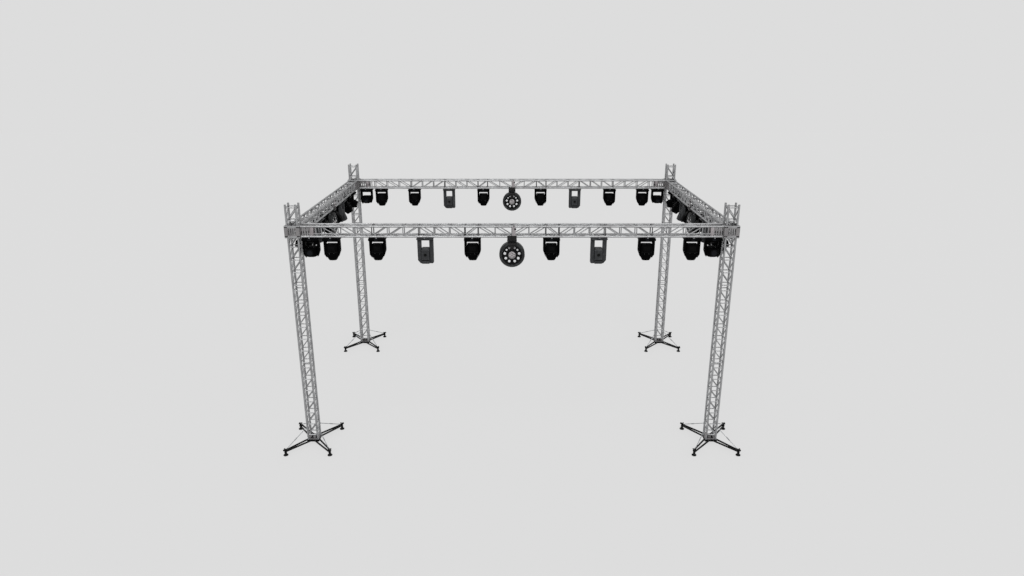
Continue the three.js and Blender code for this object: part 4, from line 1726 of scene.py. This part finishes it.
@dataclass(frozen=True)
class SpotLight(MovingLight):
    """A moving spot: broad body that narrows to a round lens."""

    def tails(self) -> tuple[ArmTail, ArmTail]:
        """As in MovingLight."""
        return (ArmTail(corner=0.070, end=0.145, foot_share=0.10),
                ArmTail(corner=-0.015, end=0.120, foot_share=0.10))

    def head(self, shaper: Shaper) -> None:
        """Body with its belt seam, lens, side covers and vents, and a fan grille on its back.

        Args:
            shaper: what it is added to.
        """
        levels = [(-0.203, 0.172, 0.170, 0.048), (-0.198, 0.179, 0.178, 0.050),
                  (-0.186, 0.184, 0.182, 0.050), (-0.183, 0.194, 0.186, 0.050),
                  (-0.128, 0.246, 0.210, 0.048), (-0.116, 0.256, 0.218, 0.044),
                  (-0.060, 0.263, 0.230, 0.040), (0.000, 0.267, 0.238, 0.038),
                  (0.060, 0.266, 0.232, 0.036), (0.110, 0.263, 0.214, 0.034),
                  (0.150, 0.257, 0.190, 0.032), (0.174, 0.250, 0.160, 0.030),
                  (0.182, 0.241, 0.146, 0.028), (0.185, 0.229, 0.136, 0.026)]
        shaper.skin(body_rings(levels), self.housing)
        seam = [(-0.004, 0.2684, 0.2414, 0.039), (-0.003, 0.2692, 0.2425, 0.039),
                (0.003, 0.2692, 0.2425, 0.039), (0.004, 0.2684, 0.2414, 0.039)]
        shaper.skin(body_rings(seam), Finishes.TRIM)
        self.lens(shaper)
        for side in (-1, 1):
            self.side_panel(shaper, side)
        self.trees.slat_row(shaper, (0, -0.05, 0.1855), (0, 0.0125, 0), 9, (0.17, 0.005, 0.004),
                            Finishes.TRIM)

    def side_panel(self, shaper: Shaper, side: int) -> None:
        """Vents over a leaning cover with a screw at each corner, on the face at that sign of Y.

        Args:
            shaper: what it is added to.
            side: 1 or -1, the sign of Y.
        """
        self.trees.slat_row(shaper, (0, side * 0.1165, 0.028), (0, -side * 0.0022, 0.0125), 9,
                            (0.15, 0.012, 0.0045), Finishes.TRIM)
        middle_z, lean = -0.065, math.radians(7)
        panel = Matrix.Translation((0, side * 0.1125, middle_z)) @ Matrix.Rotation(side * lean, 4, "X")
        shaper.prism(rounded(0.13, 0.07, 0.01), 0, 0.004, self.housing, panel @ face_place((0, side, 0)),
                     0.0015)
        for x in (-0.055, 0.055):
            for z in (-0.092, -0.038):
                tip = side * (0.1172 + (z - middle_z) * 0.12)
                shaper.rod((x, tip - side * 0.004, z), (x, tip + side * 0.001, z), 0.0035, Finishes.ZINC, 8)

    def lens(self, shaper: Shaper) -> None:
        """Barrel rim and the domed glass in it.

        Args:
            shaper: what it is added to.
        """
        flip = Matrix.Rotation(math.pi, 4, "X")
        rim = [(0, 0.200), (0.082, 0.200), (0.082, 0.204), (0.080, 0.206), (0.075, 0.206),
               (0.073, 0.202), (0, 0.202)]
        glass = [(0, 0.2015), (0.072, 0.2015), (0.072, 0.2022), (0.052, 0.2038), (0.026, 0.2050), (0, 0.2054)]
        shaper.turned(rim, Finishes.TRIM, flip, 40)
        shaper.turned(glass, Finishes.GLASS, flip, 40)


@dataclass(frozen=True)
class WashLight(MovingLight):
    """A moving wash light: tall narrow body with a square field of small lenses below."""

    wall: float = 0.0975
    lens_pitch: float = 0.0365

    def tails(self) -> tuple[ArmTail, ArmTail]:
        """As in MovingLight."""
        return (ArmTail(corner=0.110, end=0.185, foot_share=0.32),
                ArmTail(corner=0.165, end=0.185, foot_share=0.83))

    def head(self, shaper: Shaper) -> None:
        """Body with a stepped back, its two broad faces, bezel and lens field.

        Args:
            shaper: what it is added to.
        """
        levels = [(-0.187, 0.176, 0.164, 0.012), (-0.178, 0.186, 0.184, 0.014),
                  (-0.160, 0.188, 0.198, 0.014), (-0.158, 0.182, 0.190, 0.014),
                  (-0.150, 0.182, 0.190, 0.014), (-0.148, 0.188, 0.198, 0.016),
                  (0.120, 0.188, 0.198, 0.020), (0.150, 0.186, 0.182, 0.022),
                  (0.176, 0.176, 0.158, 0.022), (0.185, 0.160, 0.144, 0.018)]
        shaper.skin(body_rings(levels), self.housing)
        for side in (-1, 1):
            self.broad_face(shaper, side)
        shaper.plate(rounded(0.172, 0.160, 0.012), [rounded(0.15, 0.146, 0.008)], 0.004, Finishes.TRIM,
                     Matrix.Translation((0, 0, -0.190)))
        field = Shaper()
        steps = [i * self.lens_pitch for i in (-1.5, -0.5, 0.5, 1.5)]
        self.trees.lamp_group(field, [(x, 0.0, y) for x in steps for y in steps], 0.0155,
                              Finishes.GLASS, 0.0016)
        shaper.add(field, Matrix.Translation((0, 0, -0.186)) @ Matrix.Rotation(math.pi / 2, 4, "X"))

    def broad_face(self, shaper: Shaper, side: int) -> None:
        """Raised window with a ringed disc, cooling slats, a dark band and screws, at that sign of Y.

        Args:
            shaper: what it is added to.
            side: 1 or -1, the sign of Y.
        """
        window = face_place((0, side, 0), (0, side * self.wall, 0.02))
        shaper.prism(rounded(0.13, 0.13, 0.03), 0, 0.004, self.housing, window, 0.0015)
        place = face_place((0, side, 0), (0, side * (self.wall + 0.0025), 0.03))
        ring = [(0, 0), (0.05, 0), (0.05, 0.0025), (0.046, 0.0045), (0.036, 0.0045), (0.034, 0.002),
                (0, 0.002)]
        shaper.turned(ring, Finishes.ROUND, place, 32)
        shaper.turned([(0, 0.0015), (0.034, 0.0015), (0.034, 0.003), (0, 0.0035)], Finishes.TRIM, place, 24)
        self.trees.slat_row(shaper, (0, side * self.wall, 0.094), (0, 0, 0.009), 4, (0.14, 0.007, 0.004),
                            self.housing)
        shaper.block((-0.084, side * 0.0985, -0.120), (0.084, side * 0.1005, -0.094), Finishes.TRIM, 0.001)
        for x in (-0.08, 0.08):
            for z in (-0.076, 0.142):
                shaper.rod((x, side * 0.094, z), (x, side * 0.1005, z), 0.0035, Finishes.ZINC, 8)


@dataclass(frozen=True)
class RoundCluster:
    """A round lamp cluster on a bracket: ten lamps in a ring about a middle group of seven, facing -Y."""

    trees: Trees
    drop: float = 0.33
    radius: float = 0.3
    depth: float = 0.25
    neck: float = 0.22
    plate_z: float = 0.048
    plate_top: float = 0.07
    ear_w: float = 0.03
    strap: Flat = (0.0, 0.085)
    strap_t: float = 0.008
    skirt_top: float = 0.148
    lift: float = 0.014
    ring_r: float = 0.171
    lamps: tuple[Flat, ...] = ((42, 0.026), (9, 0.036), (-31, 0.036), (-68, 0.034))
    # Angle and lens radius of the two top lamps by the neck; their darker lens is painted shade from the
    # neck.
    dim_lamp: Flat = (68, 0.028)
    screw_r: float = 0.236

    def hanger(self, shaper: Shaper) -> None:
        """Plate under the tubes, clamps, ears about the tilt axis, and the strap up the viewed side.

        Args:
            shaper: what it is added to.
        """
        half, deep = self.neck / 2, BASE_DEPTH / 2
        foot = rounded(2 * half, 2 * deep, 0.012)
        shaper.prism(foot, self.plate_z, self.plate_top, Finishes.BRACKET, bevel=0.003)
        ClampPair(self.plate_top).build(shaper)
        for side in (-1, 1):
            shaper.block((side * half, -0.03, -0.024),
                         (side * (half - self.ear_w), 0.03, self.plate_z + 0.002), Finishes.ROUND, 0.005)
            shaper.rod((side * (half - 0.001), 0, 0), (side * (half + 0.003), 0, 0), 0.016, Finishes.TRIM,
                       8, 0.001)
            for y in (-0.11, 0.11):
                shaper.bolt((side * 0.085, y, self.plate_top - 0.0005), UP, 0.006)
        face = -ENVELOPE - self.strap_t
        shaper.block((-half, face - 0.001, self.plate_z - 0.006), (half, face + 0.006, self.skirt_top),
                     Finishes.BRACKET, 0.002)
        top = self.plate_top + HANG + CHORD_GAP / 2
        left, right = self.strap
        middle = (left + right) / 2
        shaper.block((left, face, self.plate_z), (right, face + self.strap_t, top), Finishes.ROSE, 0.0015)
        shaper.block((middle - 0.02, face, top - 0.012),
                     (middle + 0.02, -ENVELOPE + 0.03, top + CHORD_R + 0.006), Finishes.PLATE, 0.003)
        for z in (self.skirt_top + 0.02, self.skirt_top + 0.05):
            shaper.bolt((middle, face, z), (0, -1, 0), 0.005)
        shaper.block((right - 0.03, face - 0.012, top - 0.075), (right + 0.012, face + 0.002, top - 0.035),
                     Finishes.TRIM, 0.003)

    def lamp_pair(self, angle: float) -> list[Point]:
        """Middles of the two lamps at that angle over the ring's middle, left and right."""
        x, up = (self.ring_r * turn(math.radians(angle)) for turn in (math.cos, math.sin))
        return [(side * x, -self.depth / 2 + 0.016, up + self.lift - self.drop) for side in (-1, 1)]

    def head(self, shaper: Shaper) -> None:
        """The drum with its lug, the neck over its face, lamps and reflectors, and slats on its back.

        Args:
            shaper: what it is added to.
        """
        r, half = self.radius, self.depth / 2
        drum = Matrix.Translation((0, 0, -self.drop)) @ Matrix.Rotation(math.pi / 2, 4, "X")
        profile = [(0, -half), (r - 0.040, -half), (r - 0.034, -half + 0.002), (r - 0.003, -half + 0.033),
                   (r, -half + 0.040), (r, half - 0.060), (r - 0.004, half - 0.055),
                   (r - 0.004, half - 0.048), (r, half - 0.043), (r, half - 0.037),
                   (r - 0.004, half - 0.030), (r - 0.028, half - 0.006), (r - 0.035, half),
                   (r - 0.052, half - 0.002), (r - 0.062, half - 0.016), (0, half - 0.016)]
        shaper.turned(profile, Finishes.ROUND, drum, 64)
        lug = self.neck / 2 - self.ear_w - 0.0006
        shaper.block((-lug, -0.0295, -0.075), (lug, 0.0295, 0.022), Finishes.ROUND, 0.004)
        shaper.disc(r - 0.064, half - 0.017, half - 0.0145, Finishes.TRIM, drum, 48)
        self.neck_plate(shaper)
        for angle, size in self.lamps:
            self.trees.lamp_group(shaper, self.lamp_pair(angle), size, Finishes.LAMP, 0.006)
        # The top pair takes the darker lens colour: painted shade from the neck.
        angle, size = self.dim_lamp
        self.trees.lamp_group(shaper, self.lamp_pair(angle), size, Finishes.DIM_LAMP, 0.006)
        centre = self.lift - self.drop
        middle = [(0.0, -half + 0.004, centre)]
        middle += [(x, -half + 0.006, z + centre) for x, z in arc(0.053, 30, 330, 5)]
        self.trees.lamp_group(shaper, middle, 0.0235, Finishes.MIRROR, 0.0025, Finishes.PLATE)
        hub = [(0, half - 0.017), (0.088, half - 0.017), (0.088, half - 0.004), (0.080, half - 0.001),
               (0.078, half - 0.006), (0, half - 0.006)]
        shaper.turned(hub, Finishes.PLATE, drum, 40)
        for x, z in arc(self.screw_r, 0, 337.5, 15):
            shaper.bolt((x, -half + 0.0165, z - self.drop), (0, -1, 0), 0.004)
        self.trees.slat_row(shaper, (0, half + 0.001, -self.drop - 0.12), (0, 0, 0.02), 13,
                            (0.26, 0.008, 0.006), Finishes.TRIM)

    def neck_plate(self, shaper: Shaper) -> None:
        """The neck that widens up the drum's face, and the saddle over its rim.

        Args:
            shaper: what it is added to.
        """
        right = [(0.010, 0.099), (0.014, 0.180), (0.056, 0.206), (0.100, 0.230), (0.1065, 0.246)]
        neck = [*right, *[(-x, z) for x, z in reversed(right)]]
        front = face_place((0, -1, 0), (0, 0.017 - self.depth / 2, -self.drop))
        shaper.plate(neck, [], 0.021, Finishes.BRACKET, front)
        saddle = [(-0.129, 0.240), (-0.045, 0.240), (-0.045, 0.3005), (-0.090, 0.3015), (-0.129, 0.2625)]
        over = face_place((1, 0, 0), (0, 0, -self.drop))
        shaper.prism(saddle, -0.1065, 0.1065, Finishes.BRACKET, over, 0.002)


@dataclass
class LightRow:
    """Every light on the rig, with one model of each shape that its copies are taken from."""

    trees: Trees
    lights: list[Light] = field(default_factory=read_lights)
    models: dict[str, bpy.types.Mesh] = field(default_factory=dict)

    def __post_init__(self) -> None:
        """Builds the models."""
        makers = {
            LightKind.SPOT: SpotLight(self.trees, Finishes.SPOT, length=0.385, gap=0.27, base_top=0.33,
                                      base_low=0.28, bar_low=0.237),
            LightKind.WASH: WashLight(self.trees, Finishes.WASH, length=0.37, gap=0.19, base_top=0.43,
                                      base_low=0.406, bar_low=0.372),
            LightKind.ROUND: RoundCluster(self.trees),
        }
        for kind, maker in makers.items():
            self.model(f"hanger_{kind.name}", maker.hanger)
            self.model(f"head_{kind.name}", maker.head)
            if isinstance(maker, MovingLight):
                for side in (-1, 1):
                    self.model(f"yoke_{kind.name}_{side}", lambda shaper, m=maker, s=side: m.yoke(shaper, s))

    def model(self, name: str, make: Callable[[Shaper], None]) -> None:
        """Builds one model and keeps its mesh under that name.

        Args:
            name: of the model.
            make: adds its solids to a shaper.
        """
        shaper = Shaper()
        make(shaper)
        self.models[name] = shaper.mesh_copy(name)

    def hang(self, shaper: Shaper, light: Light) -> None:
        """Adds a light's hanger, and its yoke where that doesn't turn, to the piece that carries it.

        Args:
            shaper: what it is added to.
            light: the light.
        """
        shaper.absorb(self.models[f"hanger_{light.kind.name}"], light.stand())
        if light.kind is not LightKind.ROUND and light.body == "grid":
            self.yoke(shaper, light)

    def yoke(self, shaper: Shaper, light: Light) -> None:
        """Adds a light's yoke."""
        shaper.absorb(self.models[f"yoke_{light.kind.name}_{light.long_side()}"], light.stand())

    def heads(self) -> None:
        """Makes a piece of every head, and of every yoke that turns."""
        for light in self.lights:
            shaper = Shaper()
            shaper.absorb(self.models[f"head_{light.kind.name}"], light.head_place())
            node = f"head_{light.name}"
            shaper.piece(f"lamp_{node}", node, light.kind.value, node)
            if light.body != "grid":
                turning = Shaper()
                self.yoke(turning, light)
                turning.piece(f"turning_{light.body}", light.body, light.kind.value, light.body)

    def under(self, beam: str) -> list[Light]:
        """The lights of one beam, in order, those at its corners included."""
        return [light for light in self.lights if light.name.startswith(beam)]


@dataclass(frozen=True)
class Beam:
    """A beam of the grid, with the hangers of its lights."""

    rig: Rig
    name: str
    lights: tuple[Light, ...]

    def truss(self) -> BoxTruss:
        """The beam's truss: long beams follow the photograph's changing bays, side beams have even ones.

        Returns:
            The truss, with its middle at the origin.
        """
        if self.name in ("front", "rear"):
            half = self.rig.tower_x - BLOCK_REACH
            runs = beam_runs(half, (0.79, 1.10, 2.175, 3.26), (2, 1, 3, 3, 3), (1, -1, 1, -1, 1))
            return BoxTruss(-half, half, runs, (-1.5, 1.5), False)
        half = self.rig.tower_y - BLOCK_REACH
        runs = beam_runs(half, (1.34,), (4, 4), (1, -1))
        return BoxTruss(-half, half, runs, (0.0,), False)

    def place(self) -> Matrix:
        """Where the beam's own frame is, its X along the beam and -Y towards its viewed side.

        Returns:
            The place.
        """
        x, y, turn = {"front": (0, -1, 0), "rear": (0, 1, 0), "left": (-1, 0, 1),
                      "right": (1, 0, -1)}[self.name]
        return self.rig.spot(x, y, self.rig.grid_z) @ Matrix.Rotation(turn * math.pi / 2, 4, "Z")

    def build(self, row: LightRow) -> None:
        """Makes the beam with its lights' hangers, in its node's stead.

        Args:
            row: the rig's lights.
        """
        truss = Shaper()
        self.truss().build(truss, row.trees)
        whole = Shaper()
        whole.add(truss, self.place())
        for light in self.lights:
            row.hang(whole, light)
        whole.piece(f"grid_beam_{self.name}", "grid", "truss_aluminium", f"beam_{self.name}")


@dataclass(frozen=True)
class Sun:
    """A soft lamp from far off: its turns in degrees, its strength, and how many degrees wide it is."""

    name: str
    turn: Point
    strength: float
    spread: float

    def build(self) -> None:
        """Puts the lamp in the scene."""
        lamp = bpy.data.lights.new(self.name, "SUN")
        lamp.energy = self.strength
        lamp.angle = math.radians(self.spread)
        new_object(self.name, lamp).rotation_euler = tuple(math.radians(angle) for angle in self.turn)


@dataclass(frozen=True)
class Studio:
    """Plain pale floor, soft light, and the photograph's camera."""

    floor_size: float = 160.0
    floor_drop: float = 0.001
    world_strength: float = 0.66
    shadow_share: float = 0.12
    view_reach: float = 500.0
    suns: tuple[Sun, ...] = (Sun("key", (38, 12, -28), 1.15, 40), Sun("fill", (58, 0, 42), 0.45, 70))

    def build(self) -> None:
        """Makes the floor, the world, the lamps and the camera."""
        self.floor()
        self.world()
        for sun in self.suns:
            sun.build()
        camera = new_object("camera", bpy.data.cameras.new("camera"))
        camera.data.lens = CAMERA_LENS
        camera.data.clip_end = self.view_reach
        camera.location = CAMERA_PLACE
        camera.rotation_euler = (CAMERA_PITCH, 0, 0)
        bpy.context.scene.camera = camera
        bpy.context.scene.view_settings.view_transform = "Standard"

    def seen(self, graph: Graph) -> Term:
        """1 for rays from the camera, a mirror or glass, else 0.

        Args:
            graph: the nodes that it goes into.

        Returns:
            The mask as a term.
        """
        path = graph.node("ShaderNodeLightPath").outputs
        mirror = graph.math("MAXIMUM", path["Is Glossy Ray"], path["Is Transmission Ray"])
        return graph.math("MAXIMUM", path["Is Camera Ray"], mirror)

    def floor(self) -> None:
        """A pale floor that shows the backdrop's colour, with a trace of the rig's shadow."""
        made = bpy.data.materials.new("pale_floor")
        graph = cleared_graph(made)
        pale = (BACKDROP, BACKDROP, BACKDROP, 1)
        lit = graph.node("ShaderNodeBsdfDiffuse", Color=pale).outputs[0]
        plain = graph.node("ShaderNodeEmission", Color=pale, Strength=1.0).outputs[0]
        share = self.seen(graph) * (1 - self.shadow_share)
        mixed = graph.node("ShaderNodeMixShader", i0=share, i1=lit, i2=plain).outputs[0]
        graph.node("ShaderNodeOutputMaterial", Surface=mixed)
        half = self.floor_size / 2
        mesh = bpy.data.meshes.new("floor")
        corners = [(-half, -half, 0), (half, -half, 0), (half, half, 0), (-half, half, 0)]
        mesh.from_pydata(corners, [], [(0, 1, 2, 3)])
        mesh.materials.append(made)
        floor = new_object("floor", mesh)
        floor.location.z = -self.floor_drop
        floor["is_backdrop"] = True

    def world(self) -> None:
        """An even pale surround, shown at the backdrop's colour and dimmer as light."""
        world = bpy.data.worlds.new("studio")
        bpy.context.scene.world = world
        graph = cleared_graph(world)
        strength = self.seen(graph) * (BACKDROP - self.world_strength) + self.world_strength
        light = graph.node("ShaderNodeBackground", Color=(1, 1, 1, 1), Strength=strength)
        graph.node("ShaderNodeOutputWorld", Surface=light.outputs[0])


def main() -> None:
    """Builds the studio, then the rig piece by piece."""
    logging.basicConfig(level=logging.INFO, format="%(name)s: %(message)s")
    Studio().build()
    rig = Rig.from_frame()
    trees = Trees()
    row = LightRow(trees)
    corner_lights = {}
    for beam in ("front", "rear", "left", "right"):
        lights = row.under(beam)
        if beam in ("front", "rear"):
            corner_lights[f"{beam}_left"], corner_lights[f"{beam}_right"] = lights[0], lights[-1]
            lights = lights[1:-1]
        Beam(rig, beam, tuple(lights)).build(row)
    for name, sx, sy in rig.corners():
        Tower(rig).build(name, sx, sy, trees)
        GroundBase(rig).build(name, sx, sy)
        corner = corner_lights[name]
        SleeveBlock(rig).build(name, sx, sy, trees, lambda shaper, light=corner: row.hang(shaper, light))
    row.heads()
    corners = {"cad": CAD_BOX, "visual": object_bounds()}
    {name: [list(low), list(high)] for name, (low, high) in corners.items()}


if __name__ == "__main__":
    main()
